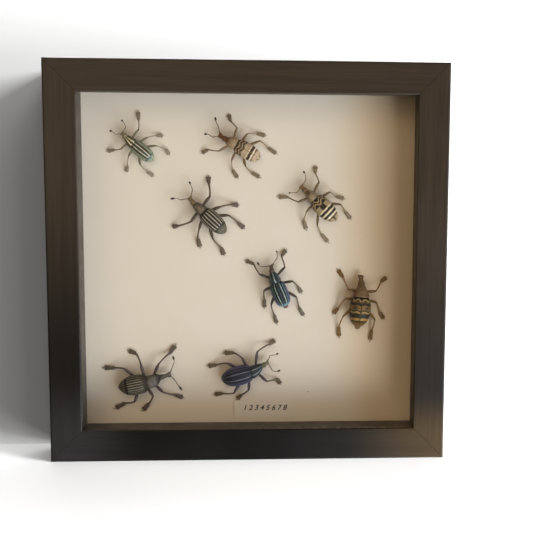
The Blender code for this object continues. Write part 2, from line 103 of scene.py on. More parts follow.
class MouldingLook(bpy.types.PropertyGroup):
    """Section and finish of the four rails."""

    width: length_setting("Width", "Face width of a rail", 18.3)
    lip_depth: length_setting("Lip depth", "Thickness of the lip before the glass", 4.8)
    rebate: length_setting("Rebate", "How far the lip reaches past the stem", 5.9)
    outer_round: length_setting("Outer edge", "Radius of the outer front edge", 1.4)
    sight_round: length_setting("Sight edge", "Radius of the edge next to the glass", 0.7)
    joint: length_setting("Mitre joint", "Width of the hairline between two rails", 0.10)
    stain: colour_setting("Stain", "Colour of the dark finish", tint(16, 14, 13))
    # Painted sheen: a lighter brown laid over the stain on the top and right rails, standing in for
    # reflections.
    painted_sheen: colour_setting("Faded stain", "Colour where light has bleached it", tint(54, 45, 35))
    worn: colour_setting("Worn edge", "Colour of the rubbed edges", tint(112, 92, 72))
    raw: colour_setting("Bare wood", "Colour of the unfinished back", tint(128, 100, 72))
    # Painted sheen: a grey tone laid over the lower left corner of the front, standing in for a
    # reflection.
    painted_grey_sheen: colour_setting("Bloom", "Greyish bloom in the lower left corner", tint(60, 59, 61))
    # Painted highlight: a warm brown laid over the lower right corner of the front, standing in for
    # a lamp's reflection.
    painted_warm_highlight: colour_setting("Grime", "Brown grime in the lower right corner", tint(104, 82, 44))
    dust: colour_setting("Dust", "Colour of the dust on the lower ledge", tint(150, 142, 124))
    wear: number_setting(
        "Wear", "How much of the edges is rubbed", 0.35, max=1.0, subtype="FACTOR"
    )


class CaseLook(bpy.types.PropertyGroup):
    """Colours of what lies inside and behind the rails."""

    board: colour_setting("Board", "Colour of the paper on the board", tint(218, 207, 192))
    # Painted shade: a warmer, darker cream laid along the board's right and bottom edges, where the
    # rails shade it.
    painted_warm_shade: colour_setting("Toning", "Colour of the aged paper at the rim", tint(218, 195, 164))
    lining: colour_setting("Lining", "Colour of the inner walls", tint(74, 66, 58))
    label: colour_setting("Label", "Colour of the label's paper", tint(218, 206, 190))
    ink: colour_setting("Ink", "Colour of the printed figures", tint(28, 24, 22))
    panel: colour_setting("Panel", "Colour of the fibreboard at the back", tint(118, 86, 58))


class WeevilLook(bpy.types.PropertyGroup):
    """Relief shared by all eight specimens."""

    groove: length_setting("Groove", "Depth of the lines along the wing cases", 0.13)
    relief: length_setting("Relief", "Height of the low relief on the thorax", 0.10)


class StageLook(bpy.types.PropertyGroup):
    """Floor, backdrop and lamps."""

    floor: colour_setting("Floor", "Colour of the floor and the wall", (0.95, 0.95, 0.95))
    lamps: number_setting("Lamps", "Strength of all lamps together", 1.0)
    fill: number_setting("Fill", "Strength of the light from all round", 0.06)


# ---- modelling helpers ----

def named(piece, name):
    piece.name = piece.data.name = name
    return piece


def select_only(*pieces):
    """Selects these pieces, if any, and nothing else, with the first one active."""
    bpy.ops.object.select_all(action="DESELECT")
    for piece in pieces:
        piece.select_set(True)
    if pieces:
        bpy.context.view_layer.objects.active = pieces[0]


def edit(piece):
    """Opens one piece, and nothing else, in edit mode with all of it selected."""
    select_only(piece)
    bpy.ops.object.mode_set(mode="EDIT")
    bpy.ops.mesh.select_all(action="SELECT")


def leave_edit():
    bpy.ops.object.mode_set(mode="OBJECT")


def added(name):
    """The object that an operator just made, named and with its place in its mesh."""
    piece = named(bpy.context.active_object, name)
    select_only(piece)
    bpy.ops.object.transform_apply(location=True, rotation=True, scale=True)
    return piece


def pick(kind, test):
    """In edit mode, selects the VERT, EDGE or FACE elements that pass the test."""
    bpy.ops.mesh.select_mode(type=kind)
    bpy.ops.mesh.select_all(action="DESELECT")
    mesh = bpy.context.edit_object.data
    shape = bmesh.from_edit_mesh(mesh)
    for element in {"VERT": shape.verts, "EDGE": shape.edges, "FACE": shape.faces}[kind]:
        if test(element):
            element.select_set(True)
    shape.select_flush_mode()
    bmesh.update_edit_mesh(mesh)


def raise_points(test, height):
    """In edit mode, moves the vertices that pass the test up."""
    pick("VERT", test)
    bpy.ops.transform.translate(value=(0.0, 0.0, height))


def swell_points(test, height):
    """In edit mode, moves the vertices that pass the test outwards."""
    pick("VERT", test)
    bpy.ops.transform.shrink_fatten(value=height)


def middle(edge):
    return (edge.verts[0].co + edge.verts[1].co) / 2


def near(value, target, reach=0.02 * MM):
    return abs(value - target) < reach


def finish_modifier(piece, kind, **settings):
    """Adds a modifier and applies it."""
    modifier = piece.modifiers.new(kind.lower(), kind)
    for key, value in settings.items():
        setattr(modifier, key, value)
    select_only(piece)
    bpy.ops.object.modifier_apply(modifier=modifier.name)


def smooth(piece, degrees=35.0):
    select_only(piece)
    bpy.ops.object.shade_smooth_by_angle(angle=math.radians(degrees))


def face_outwards(piece):
    edit(piece)
    bpy.ops.mesh.normals_make_consistent(inside=False)
    leave_edit()


def own_copy(piece, name):
    """A copy with its own mesh."""
    copy = piece.copy()
    copy.data = piece.data.copy()
    bpy.context.scene.collection.objects.link(copy)
    return named(copy, name)


def join(pieces, name):
    select_only(*pieces)
    if len(pieces) > 1:
        bpy.ops.object.join()
    return named(pieces[0], name)


def discard(*pieces):
    for piece in pieces:
        bpy.data.objects.remove(piece)


def loft(name, sides, stations):
    """A closed tube along X. A filled circle is extruded from station to station and resized.

    Each station is (x, y, z, half width, half height), in millimetres.
    """
    first = [value * MM for value in stations[0]]
    select_only()
    bpy.ops.mesh.primitive_circle_add(
        vertices=sides, radius=1.0, fill_type="NGON", location=first[:3],
        rotation=(0.0, math.pi / 2, 0.0),
    )
    tube = added(name)
    edit(tube)
    bpy.ops.transform.resize(value=(1.0, first[3], first[4]), center_override=first[:3])
    for before, after in zip(stations, stations[1:]):
        step = (Vector(after[:3]) - Vector(before[:3])) * MM
        bpy.ops.mesh.extrude_region_move(TRANSFORM_OT_translate={"value": tuple(step)})
        bpy.ops.transform.resize(
            value=(1.0, after[3] / before[3], after[4] / before[4]),
            center_override=tuple(Vector(after[:3]) * MM),
        )
    leave_edit()
    face_outwards(tube)
    return tube


def coordinates(piece):
    """The vertices' places as rows of an array."""
    flat = np.empty(3 * len(piece.data.vertices))
    piece.data.vertices.foreach_get("co", flat)
    return flat.reshape(-1, 3)


def mark(piece, values):
    """Stores three numbers at each vertex, for the patterns to follow."""
    layer = piece.data.attributes.new("place", "FLOAT_VECTOR", "POINT")
    layer.data.foreach_set("vector", np.asarray(values, dtype=np.float32).ravel())


def tube_place(piece, stations):
    """Where the points of a loft lie: from its top line (0) to its side (1) and on to 2 below,
    from its first station (0) to its last (1), and left or right."""
    x, y, z = coordinates(piece).T / MM
    table = np.array(sorted(stations)).T
    middle_y, middle_z, wide, high = (np.interp(x, table[0], row) for row in table[1:])
    aside, above = (y - middle_y) / wide, (z - middle_z) / high
    turn = np.arctan2(np.abs(aside), above) / (math.pi / 2)
    along = (x - stations[0][0]) / (stations[-1][0] - stations[0][0])
    return np.stack((turn, along, np.sign(aside)), axis=1)


def rounded_off(piece, stations, levels):
    """Subdivides a loft and marks its points for the patterns."""
    finish_modifier(piece, "SUBSURF", levels=levels, render_levels=levels)
    mark(piece, tube_place(piece, stations))
    return piece


def dress(piece, finish):
    """Gives a piece, or the CAD node of that name, one material and no other."""
    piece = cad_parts[piece] if isinstance(piece, str) else piece
    piece.data.materials.clear()
    piece.data.materials.append(finish)
    return piece


def deliver(piece, slot, node):
    """Hands a finished piece over: it hides the CAD node that it stands for and hangs under the
    root body. The slot is not used.
    """
    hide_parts(node)
    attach(piece, "root")


# ---- shader helpers ----

def titled(values):
    """Values under the names of their sockets."""
    return {key.replace("_", " "): value for key, value in values.items()}


class Graph:
    """A node tree under construction, called g below. A value that its methods take is a number,
    a colour, a vector or another node's output."""

    def __init__(self, tree):
        self.tree = tree

    def feed(self, sockets, values):
        """Links or sets the sockets that values names or numbers."""
        for key, value in values.items():
            if isinstance(value, bpy.types.NodeSocket):
                self.tree.links.new(value, sockets[key])
            else:
                sockets[key].default_value = (*value, 1.0) if isinstance(value, Color) else value

    def put(self, kind, inputs=None, **settings):
        """Adds a node and returns its outputs."""
        node = self.tree.nodes.new(f"ShaderNode{kind}")
        for key, value in settings.items():
            setattr(node, key, value)
        self.feed(node.inputs, inputs or {})
        return node.outputs

    def calc(self, operation, *values, clamp=False):
        numbered = dict(enumerate(values))
        return self.put("Math", numbered, operation=operation, use_clamp=clamp)[0]

    def plus(self, total, *others):
        for value in others:
            total = self.calc("ADD", total, value)
        return total

    def minus(self, value, less):
        return self.calc("SUBTRACT", value, less)

    def times(self, product, *others):
        for value in others:
            product = self.calc("MULTIPLY", product, value)
        return product

    def over(self, value, divisor):
        return self.calc("DIVIDE", value, divisor)

    def inside(self, distance, half, soft):
        """1 where a distance is under half, 0 where it is over, with a soft edge."""
        share = self.over(self.minus(half, distance), soft)
        return self.calc("MULTIPLY", self.plus(share, 0.5), 1.0, clamp=True)

    def split(self, vector):
        return self.put("SeparateXYZ", {0: vector})

    def length(self, vector):
        return self.put("VectorMath", {0: vector}, operation="LENGTH")["Value"]

    def ramp(self, value, low, high, start=0.0, end=1.0):
        """A smooth step of value from start to end as it goes from low to high."""
        levels = {"Value": value, "From Min": low, "From Max": high, "To Min": start, "To Max": end}
        return self.put("MapRange", levels, interpolation_type="SMOOTHSTEP")[0]

    def reach(self, place, low, high, start=0.0, end=1.0):
        """A ramp between two places, in millimetres."""
        return self.ramp(place, low * MM, high * MM, start, end)

    def noise(self, vector, scale, detail=3.0, roughness=0.5):
        look = {"Vector": vector, "Scale": scale, "Detail": detail, "Roughness": roughness}
        return self.put("TexNoise", look)["Fac"]

    def blend(self, factor, below, above, mode="MIX"):
        """A colour between two colours, or one laid over the other in another mode."""
        colours = {0: factor, 6: below, 7: above}
        return self.put("Mix", colours, data_type="RGBA", blend_type=mode)[2]

    def lay(self, colour, *layers):
        """Lays more colours over the first, each of them given after its mask."""
        for mask, above in layers:
            colour = self.blend(mask, colour, above)
        return colour

    def shaded(self, colour, shade):
        return self.blend(1.0, colour, shade, "MULTIPLY")

    def moved(self, vector, location=(0.0, 0.0, 0.0), rotation=(0.0, 0.0, 0.0)):
        place = {"Vector": vector, "Location": location, "Rotation": rotation}
        return self.put("Mapping", place)[0]

    def bump(self, height, millimetres, strength):
        relief = {"Height": height, "Distance": millimetres * MM, "Strength": strength}
        return self.put("Bump", relief)[0]

    def effect(self, maker, **inputs):
        """Places a shared node group, made on its first use and named after its maker."""
        group = bpy.data.node_groups.get(maker.__name__) or maker(Group(maker.__name__))
        return self.put("Group", titled(inputs), node_tree=group)

    def end_in(self, output, share, first, second):
        """Ends the tree in a mix of two shaders."""
        either = self.put("MixShader", {0: share, 1: first, 2: second})[0]
        self.feed(self.tree.nodes[output].inputs, {"Surface": either})


class Group(Graph):
    """A shared node group with named sockets."""

    def __init__(self, name):
        super().__init__(bpy.data.node_groups.new(name, "ShaderNodeTree"))

    def take(self, vector, **numbers):
        """Adds the inputs, a vector and numbers with their defaults, and returns them all."""
        face = self.tree.interface
        face.new_socket(vector, in_out="INPUT", socket_type="NodeSocketVector")
        for title, default in titled(numbers).items():
            socket = face.new_socket(title, in_out="INPUT", socket_type="NodeSocketFloat")
            socket.default_value = default
        return [*self.tree.nodes.new("NodeGroupInput").outputs][:-1]

    def give(self, **values):
        """Adds the outputs, all of them numbers, and returns the finished group."""
        for title in titled(values):
            self.tree.interface.new_socket(title, in_out="OUTPUT", socket_type="NodeSocketFloat")
        self.feed(self.tree.nodes.new("NodeGroupOutput").inputs, titled(values))
        return self.tree


class Finish(Graph):
    """A material with one Principled shader. Its place is the point's, in object coordinates."""

    def __init__(self, name, **plain):
        self.material = bpy.data.materials.new(name)
        self.material.use_nodes = True
        super().__init__(self.material.node_tree)
        self.shader = self.tree.nodes["Principled BSDF"]
        self.place = self.put("TexCoord")["Object"]
        self.shade(**plain)

    def shade(self, **values):
        """Feeds inputs of the shader and returns the material."""
        self.feed(self.shader.inputs, titled(values))
        return self.material

    def open_up(self, share, colour=(1.0, 1.0, 1.0, 1.0)):
        """Lets the light straight through by a share."""
        clear = self.put("BsdfTransparent", {"Color": colour})[0]
        self.end_in("Material Output", share, self.shader.outputs[0], clear)


def wood_grain(g):
    """Long fibres along X: a tone about 0.5 and a height."""
    vector, spacing, stretch = g.take("Vector", Spacing=0.0012, Stretch=26.0)
    x, y, z = g.split(vector)
    across = g.over(1.0, spacing)
    along = g.over(across, stretch)
    scaled = {0: g.times(x, along), 1: g.times(y, across), 2: g.times(z, across)}
    fibre = g.put("CombineXYZ", scaled)[0]
    fine = g.noise(fibre, 1.6, 3.0, 0.6)
    tone = g.plus(g.times(g.noise(fibre, 0.35, 4.0, 0.6), 0.6), g.times(fine, 0.4))
    return g.give(Tone=tone, Height=fine)


def edge_wear(g):
    """Rubbed outer edges of a square frame centred on the origin, with its front at -Y."""
    vector, half_side, front, width, amount = g.take(
        "Vector", Half_Side=SIDE / 2, Front=FRONT, Width=0.0016, Amount=0.3
    )
    x, y, z = g.split(vector)
    outwards = g.calc("MAXIMUM", g.calc("ABSOLUTE", x), g.calc("ABSOLUTE", z))
    corner = g.put("CombineXYZ", {0: g.minus(half_side, outwards), 1: g.minus(y, front)})[0]
    close = g.ramp(g.over(g.length(corner), width), 0.2, 1.2, 1.0, 0.0)
    limit = g.minus(0.78, g.times(amount, 0.4))
    patchy = g.minus(g.noise(vector, 90.0, 6.0, 0.7), limit)
    return g.give(Mask=g.times(close, g.ramp(patchy, 0.0, 0.12)))


def dust_specks(g):
    """Sparse small grains of dust."""
    vector, spacing, size, amount = g.take("Vector", Spacing=0.02, Size=0.05, Amount=0.3)
    cell = g.put("TexVoronoi", {"Vector": vector, "Scale": g.over(1.0, spacing)})
    dot = g.calc("LESS_THAN", cell["Distance"], size)
    chance = g.put("SeparateColor", {0: cell["Color"]})[0]
    return g.give(Mask=g.times(dot, g.calc("LESS_THAN", chance, amount)))


def paper_fibres(g):
    """The felted fibres of paper and card."""
    vector, size = g.take("Vector", Size=0.0006)
    fine = g.noise(vector, g.over(1.0, size), 4.0, 0.65)
    tone = g.plus(g.times(fine, 0.5), g.times(g.noise(vector, 34.0, 3.0, 0.55), 0.5))
    return g.give(Tone=tone, Height=fine)


def weevil_scales(g):
    """The tiny scales that cover a weevil: their tone, their height and a ragged offset."""
    vector, size = g.take("Vector", Size=0.00016)
    cell = g.put("TexVoronoi", {"Vector": vector, "Scale": g.over(1.0, size)})
    return g.give(
        Tone=g.put("SeparateColor", {0: cell["Color"]})[1],
        Height=g.minus(1.0, cell["Distance"]),
        Ragged=g.minus(g.noise(vector, 1400.0, 3.0, 0.7), 0.5),
    )


def colour_patch(g):
    """A patch of colour on a shell. Place holds across, 0 at the midline and 1 at the side, and
    along, 0 to 1. Slant moves the patch across as it goes along, and Chevron the other way."""
    place, ragged, aside, aside_half, level, level_half, slant, chevron, wave, waves, soft = g.take(
        "Place", Ragged=0.0, Across=0.0, Across_Half=2.0, Along=0.5, Along_Half=1.0, Slant=0.0,
        Chevron=0.0, Wave=0.0, Waves=2.0, Soft=0.03,
    )
    x, y, _ = g.split(place)
    across = g.plus(x, ragged)
    along = g.plus(y, g.times(ragged, 0.5))
    aside = g.plus(aside, g.times(slant, along))
    ripple = g.times(wave, g.calc("COSINE", g.times(waves, g.times(across, math.pi))))
    level = g.plus(level, g.times(chevron, across), ripple)
    masks = [
        g.inside(g.calc("ABSOLUTE", g.minus(value, target)), half, soft)
        for value, target, half in ((across, aside, aside_half), (along, level, level_half))
    ]
    return g.give(Mask=g.times(*masks))


def rib_lines(g):
    """Pale lines along the ribs between the grooves of a shell."""
    place, ragged, count, width, soft = g.take(
        "Place", Ragged=0.0, Count=6.0, Fill=0.4, Soft=0.15
    )
    across = g.plus(g.split(place)[0], g.times(ragged, 0.3))
    cell = g.calc("FRACT", g.times(across, count))
    off_line = g.times(g.calc("ABSOLUTE", g.minus(cell, 0.5)), 2.0)
    return g.give(Mask=g.inside(off_line, width, soft))


# ---- the moulding ----

def moulding_finish(name, turn):
    """Dark satin stain with rubbed edges and a bare back, lightened by painted sheen but for the
    low left side, and with painted sheen in the lower corners.
    """
    look = bpy.context.scene.moulding_look
    g = Finish(name, Specular_IOR_Level=0.22)
    centred = g.moved(g.place, -CENTRE)
    grain = g.effect(wood_grain, Vector=g.moved(centred, rotation=(0.0, turn, 0.0)))
    worn = g.effect(edge_wear, Vector=centred, Amount=look.wear)["Mask"]
    across, depth, up = g.split(centred)
    bare = g.ramp(depth, BACK - 0.4 * MM, BACK - 0.1 * MM)
    face = g.ramp(depth, FRONT + 7 * MM, FRONT + 1 * MM)

    # Painted sheen: the front is lighter towards the top and on the right rail, standing in for
    # reflections of the lamps. The outer sides all take the same share of it.
    aside = g.times(g.reach(across, 20, 95), g.reach(up, -95, 30, 0.25, 1.0))
    painted_sheen = g.calc("MAXIMUM", g.reach(up, -60, 60), aside)
    painted_sheen = g.put("Mix", {0: face, 2: 0.6, 3: painted_sheen})[0]

    # Painted sheen in the lower corners of the front, grey on the left and a warm brown highlight
    # on the right, and the crumbs on the ledge along the lower sight edge.
    painted_grey_sheen = g.times(g.reach(up, -60, -100), g.reach(across, -60, -100, 0.0, 0.5), face)
    painted_warm_highlight = g.times(g.reach(up, -75, -100), g.reach(across, 55, 110, 0.0, 0.42), face)
    sight = look.width - SIDE / 2
    ledge = g.times(
        g.ramp(up, sight - 0.8 * MM, sight - 0.3 * MM),
        g.ramp(g.calc("ABSOLUTE", across), -sight, -sight - 1.5 * MM),
        g.ramp(up, sight + 1.0 * MM, sight + 0.5 * MM),
        g.ramp(depth, FRONT + 0.3 * MM, FRONT + 0.8 * MM),
    )
    crumbs = g.times(
        g.ramp(g.noise(centred, 460.0, 4.0, 0.65), 0.44, 0.60, 0.08, 0.7),
        g.reach(across, -30, 75, 0.2, 1.0),
    )

    # The stain with the painted sheen and highlight laid over it, then the dust on the ledge.
    stain = g.lay(
        look.stain, (painted_sheen, look.painted_sheen), (painted_grey_sheen, look.painted_grey_sheen), (painted_warm_highlight, look.painted_warm_highlight),
        (g.times(ledge, crumbs), look.dust),
    )
    stain = g.shaded(stain, g.ramp(grain["Tone"], 0.35, 0.65, 0.76, 1.12))
    wood = g.blend(g.ramp(grain["Tone"], 0.3, 0.7), look.raw * 0.6, look.raw)
    smears = g.ramp(g.noise(centred, 24.0, 4.0, 0.6), 0.3, 0.7, 0.34, 0.46)
    return g.shade(
        Base_Color=g.lay(stain, (worn, look.worn), (bare, wood)),
        Roughness=g.plus(smears, g.times(worn, 0.2), g.times(bare, 0.35)),
        Normal=g.bump(grain["Height"], 0.05, 0.5),
    )


BACK_ROUND = 0.25 * MM
MITRE_ROUND = 0.12 * MM


def round_long_edges(radius, segments, test):
    """In edit mode, bevels the edges along X whose middle passes the test."""
    def chosen(edge):
        direction = (edge.verts[1].co - edge.verts[0].co).normalized()
        return abs(direction.x) > 0.999 and test(middle(edge))

    pick("EDGE", chosen)
    bpy.ops.mesh.bevel(offset=radius, segments=segments, affect="EDGES")


def on_mitre(edge):
    """Whether an edge lies between one mitre cut and a face that runs along the rail."""
    return len({round(face.normal.x, 1) for face in edge.link_faces} - {0.0}) == 1


def make_rail(look):
    """The bottom rail: a stem and a lip, rounded at the front and mitred at both ends."""
    stem = look.width - look.rebate
    lip_back = FRONT + look.lip_depth
    select_only()
    bpy.ops.mesh.primitive_cube_add(
        size=1.0, location=(0.0, (FRONT + BACK) / 2, stem / 2), scale=(SIDE, BACK - FRONT, stem)
    )
    rail = added("rail")
    edit(rail)
    bpy.ops.mesh.bisect(plane_co=(0.0, lip_back, 0.0), plane_no=(0.0, 1.0, 0.0))
    pick("FACE", lambda f: f.normal.z > 0.9 and f.calc_center_median().y < lip_back)
    bpy.ops.mesh.extrude_region_move(TRANSFORM_OT_translate={"value": (0.0, 0.0, look.rebate)})
    round_long_edges(look.outer_round, 7, lambda m: near(m.y, FRONT) and near(m.z, 0.0))
    round_long_edges(look.sight_round, 5, lambda m: near(m.y, FRONT) and near(m.z, look.width))
    round_long_edges(BACK_ROUND, 2, lambda m: near(m.y, BACK))
    for end in (-1.0, 1.0):
        bpy.ops.mesh.select_all(action="SELECT")
        bpy.ops.mesh.bisect(
            plane_co=(end * (SIDE / 2 - look.joint / 2), 0.0, 0.0), plane_no=(end, 0.0, 1.0),
            use_fill=True, clear_outer=True,
        )
    pick("EDGE", lambda e: on_mitre(e) and near(middle(e).y, FRONT))
    bpy.ops.mesh.bevel(offset=MITRE_ROUND, segments=2, affect="EDGES")
    leave_edit()
    face_outwards(rail)
    smooth(rail)
    finish_modifier(rail, "WEIGHTED_NORMAL", keep_sharp=True)
    return rail


class INSECT_CASE_OT_moulding(bpy.types.Operator):
    """Model one rail, copy it round the four sides and finish it"""

    bl_idname = "insect_case.moulding"
    bl_label = "Moulding"

    def execute(self, context):
        rail = make_rail(context.scene.moulding_look)
        finishes = [
            moulding_finish(name, turn * math.pi / 2)
            for turn, name in enumerate(("moulding_level", "moulding_upright"))
        ]
        about = Matrix.Translation(CENTRE)
        for number, side in enumerate(SIDES):
            piece = dress(own_copy(rail, f"moulding_{side}"), finishes[number % 2])
            turn = Matrix.Rotation(number * math.pi / 2, 4, "Y")
            piece.data.transform(about @ turn @ about.inverted())
            deliver(piece, "moulding", f"frame_rail_{side}")
        discard(rail)
        return {"FINISHED"}


# ---- glass, lining and board ----

def glass_finish():
    """Clear glass that lets the lamps' light through to the board."""
    g = Finish(
        "clear_glass", Base_Color=(0.97, 0.985, 0.98, 1.0), Roughness=0.0, IOR=1.45,
        Transmission_Weight=1.0,
    )
    g.open_up(g.put("LightPath")["Is Shadow Ray"], (0.94, 0.95, 0.945, 1.0))
    return g.shade(Normal=g.bump(g.noise(g.place, 6.0, 2.0, 0.4), 0.02, 0.4))


def lining_finish():
    """Dark covered card, a little scuffed."""
    look = bpy.context.scene.case_look
    g = Finish("dark_lining", Specular_IOR_Level=0.5)
    fibres = g.effect(paper_fibres, Vector=g.place, Size=0.0008)
    dust = g.effect(dust_specks, Vector=g.place, Spacing=0.004, Size=0.10, Amount=0.25)["Mask"]
    colour = g.blend(g.ramp(fibres["Tone"], 0.35, 0.65), look.lining * 0.8, look.lining)
    return g.shade(
        Base_Color=g.blend(g.times(dust, 0.6), colour, tint(150, 132, 104)),
        Roughness=g.ramp(g.noise(g.place, 60.0, 5.0, 0.7), 0.3, 0.7, 0.42, 0.62),
        Normal=g.bump(fibres["Height"], 0.05, 0.5),
    )


def board_finish():
    """Cream paper with painted warm shade towards its right and bottom edges, fine fibres and a few
    specks.
    """
    look = bpy.context.scene.case_look
    g = Finish("cream_board", Roughness=0.88, Specular_IOR_Level=0.2)
    centred = g.moved(g.place, -CENTRE)
    fibres = g.effect(paper_fibres, Vector=g.place)
    x, _, z = g.split(centred)
    # Painted shade: the rails' shadow, warm and darker, strongest at the right edge and weaker at
    # the bottom, broken up by clouds.
    rim = g.calc("MAXIMUM", g.reach(x, 43, 82), g.reach(z, -78, -90, 0.0, 0.4))
    clouds = g.ramp(g.noise(centred, 14.0, 3.0, 0.6), 0.3, 0.7, 0.88, 1.0)
    felt = g.times(g.ramp(fibres["Tone"], 0.3, 0.7), 0.10)
    specks = g.effect(dust_specks, Vector=centred, Spacing=0.031, Size=0.012, Amount=0.4)["Mask"]
    colour = g.lay(
        look.board, (g.times(rim, clouds), look.painted_warm_shade), (felt, tint(196, 178, 152)),
        (specks, tint(96, 78, 58)),
    )
    return g.shade(Base_Color=colour, Normal=g.bump(fibres["Height"], 0.04, 0.35))


class INSECT_CASE_OT_glass(bpy.types.Operator):
    """Finish the pane"""

    bl_idname = "insect_case.glass"
    bl_label = "Glass pane"

    def execute(self, context):
        dress("glass_pane", glass_finish()).visible_diffuse = False
        return {"FINISHED"}


class INSECT_CASE_OT_lining(bpy.types.Operator):
    """Finish the four inner walls"""

    bl_idname = "insect_case.lining"
    bl_label = "Inner walls"

    def execute(self, context):
        finish = lining_finish()
        for side in SIDES:
            dress(f"liner_{side}", finish)
        return {"FINISHED"}


class INSECT_CASE_OT_board(bpy.types.Operator):
    """Finish the board that carries the specimens"""

    bl_idname = "insect_case.board"
    bl_label = "Board"

    def execute(self, context):
        dress("backing_board", board_finish())
        return {"FINISHED"}


# ---- the label ----

LABEL_TEXT = "1 2 3 4 5 6 7 8"
PRINT_WIDTH = 26.5 * MM
PRINT_OFFSET = Vector((0.8, -0.08, 0.6)) * MM  # from the middle of the label, just off its face
PRINT_WEIGHT = 0.10 * MM  # how far the outlines are moved out, to make the figures bolder
PAPER_THICKNESS = 0.12 * MM
LIFTED_REACH = 7 * MM  # how far a lifted corner bends the paper


def label_finish():
    look = bpy.context.scene.case_look
    g = Finish("label_paper", Roughness=0.85, Specular_IOR_Level=0.25)
    fibres = g.effect(paper_fibres, Vector=g.place, Size=0.0004)
    felt = g.times(g.ramp(fibres["Tone"], 0.3, 0.7), 0.15)
    return g.shade(
        Base_Color=g.blend(felt, look.label, tint(200, 184, 160)),
        Normal=g.bump(fibres["Height"], 0.02, 0.3),
    )


def ink_finish():
    look = bpy.context.scene.case_look
    g = Finish("printed_ink", Roughness=0.6)
    worn = g.ramp(g.noise(g.place, 2600.0, 3.0, 0.6), 0.45, 0.8)
    return g.shade(Base_Color=g.blend(worn, look.ink, tint(96, 84, 72)))


def make_paper(low, high):
    """A sheet of paper with three of its corners lifted a little."""
    centre = (low + high) / 2
    wide = high.x - low.x
    select_only()
    bpy.ops.mesh.primitive_grid_add(
        x_subdivisions=28, y_subdivisions=8, size=wide, location=centre, rotation=UPRIGHT
    )
    paper = added("paper_label")
    edit(paper)
    bpy.ops.transform.resize(
        value=(1.0, 1.0, (high.z - low.z) / wide), center_override=tuple(centre)
    )
    for x, z, lift in ((low.x, low.z, 0.25), (high.x, low.z, 0.12), (low.x, high.z, 0.10)):
        corner = Vector((x, centre.y, z))
        pick("VERT", lambda v: (v.co - corner).length < 0.05 * MM)
        bpy.ops.transform.translate(
            value=(0.0, -lift * MM, 0.0), use_proportional_edit=True,
            proportional_edit_falloff="SHARP", proportional_size=LIFTED_REACH,
        )
    leave_edit()
    finish_modifier(paper, "SOLIDIFY", thickness=PAPER_THICKNESS, offset=0.0)
    smooth(paper)
    return paper


def make_print(text, width, centre):
    """A line of slanted figures, set on the paper's face."""
    select_only()
    bpy.ops.object.text_add(rotation=UPRIGHT)
    line = bpy.context.active_object.data
    line.body = text
    line.align_x = line.align_y = "CENTER"
    line.shear = 0.3
    line.extrude = 0.01 * MM
    line.offset = PRINT_WEIGHT
    line.size = 5 * MM
    bpy.ops.object.convert(target="MESH")
    line = added("label_print")
    scale = Matrix.Scale(width / line.dimensions.x, 4)
    line.data.transform(Matrix.Translation(centre) @ scale)
    return line


class INSECT_CASE_OT_label(bpy.types.Operator):
    """Make the paper label with its line of figures"""

    bl_idname = "insect_case.label"
    bl_label = "Label"

    def execute(self, context):
        paper = dress(make_paper(LABEL_LOW, LABEL_HIGH), label_finish())
        centre = (LABEL_LOW + LABEL_HIGH) / 2 + PRINT_OFFSET
        line = dress(make_print(LABEL_TEXT, PRINT_WIDTH, centre), ink_finish())
        deliver(join([paper, line], "paper_label"), "label", "specimen_label")
        return {"FINISHED"}


# ---- the back ----

def panel_finish():
    """Pressed fibreboard."""
    look = bpy.context.scene.case_look
    g = Finish("fibreboard", Specular_IOR_Level=0.3)
    fibres = g.effect(paper_fibres, Vector=g.place, Size=0.0014)
    flecks = g.effect(dust_specks, Vector=g.place, Spacing=0.0028, Size=0.22, Amount=0.4)["Mask"]
    colour = g.blend(g.ramp(fibres["Tone"], 0.32, 0.68), look.panel * 0.66, look.panel)
    return g.shade(
        Base_Color=g.blend(g.times(flecks, 0.35), colour, tint(168, 132, 92)),
        Roughness=g.ramp(fibres["Tone"], 0.3, 0.7, 0.55, 0.8),
        Normal=g.bump(fibres["Height"], 0.12, 0.6),
    )


def metal_finish(name, colour, spotted, rough):
    """Worn metal with fine rolling marks and dull spots."""
    g = Finish(name, Metallic=1.0)
    marks = g.effect(wood_grain, Vector=g.place, Spacing=0.0003, Stretch=30.0)
    dull = g.ramp(g.noise(g.place, 420.0, 5.0, 0.65), 0.5, 0.72)
    rolled = g.ramp(marks["Tone"], 0.3, 0.7, rough, rough + 0.12)
    return g.shade(
        Base_Color=g.blend(dull, colour, spotted),
        Roughness=g.plus(rolled, g.times(dull, 0.25)),
        Normal=g.bump(marks["Height"], 0.02, 0.4),
    )


class INSECT_CASE_OT_back(bpy.types.Operator):
    """Finish the panel, its tabs and the hanger"""

    bl_idname = "insect_case.back"
    bl_label = "Back"

    def execute(self, context):
        dress("back_panel", panel_finish())
        steel = metal_finish("tab_steel", tint(168, 166, 162), tint(112, 100, 86), 0.32)
        brass = metal_finish("hanger_brass", tint(196, 162, 96), tint(120, 92, 52), 0.28)
        for number in range(1, 9):
            dress(f"retaining_tab_{number}", steel)
        for node in ("hanger_plate", "hanger_nail_1", "hanger_nail_2"):
            dress(node, brass)
        return {"FINISHED"}


# ---- the weevils: tables in millimetres, with x forward, y left and z off the board ----

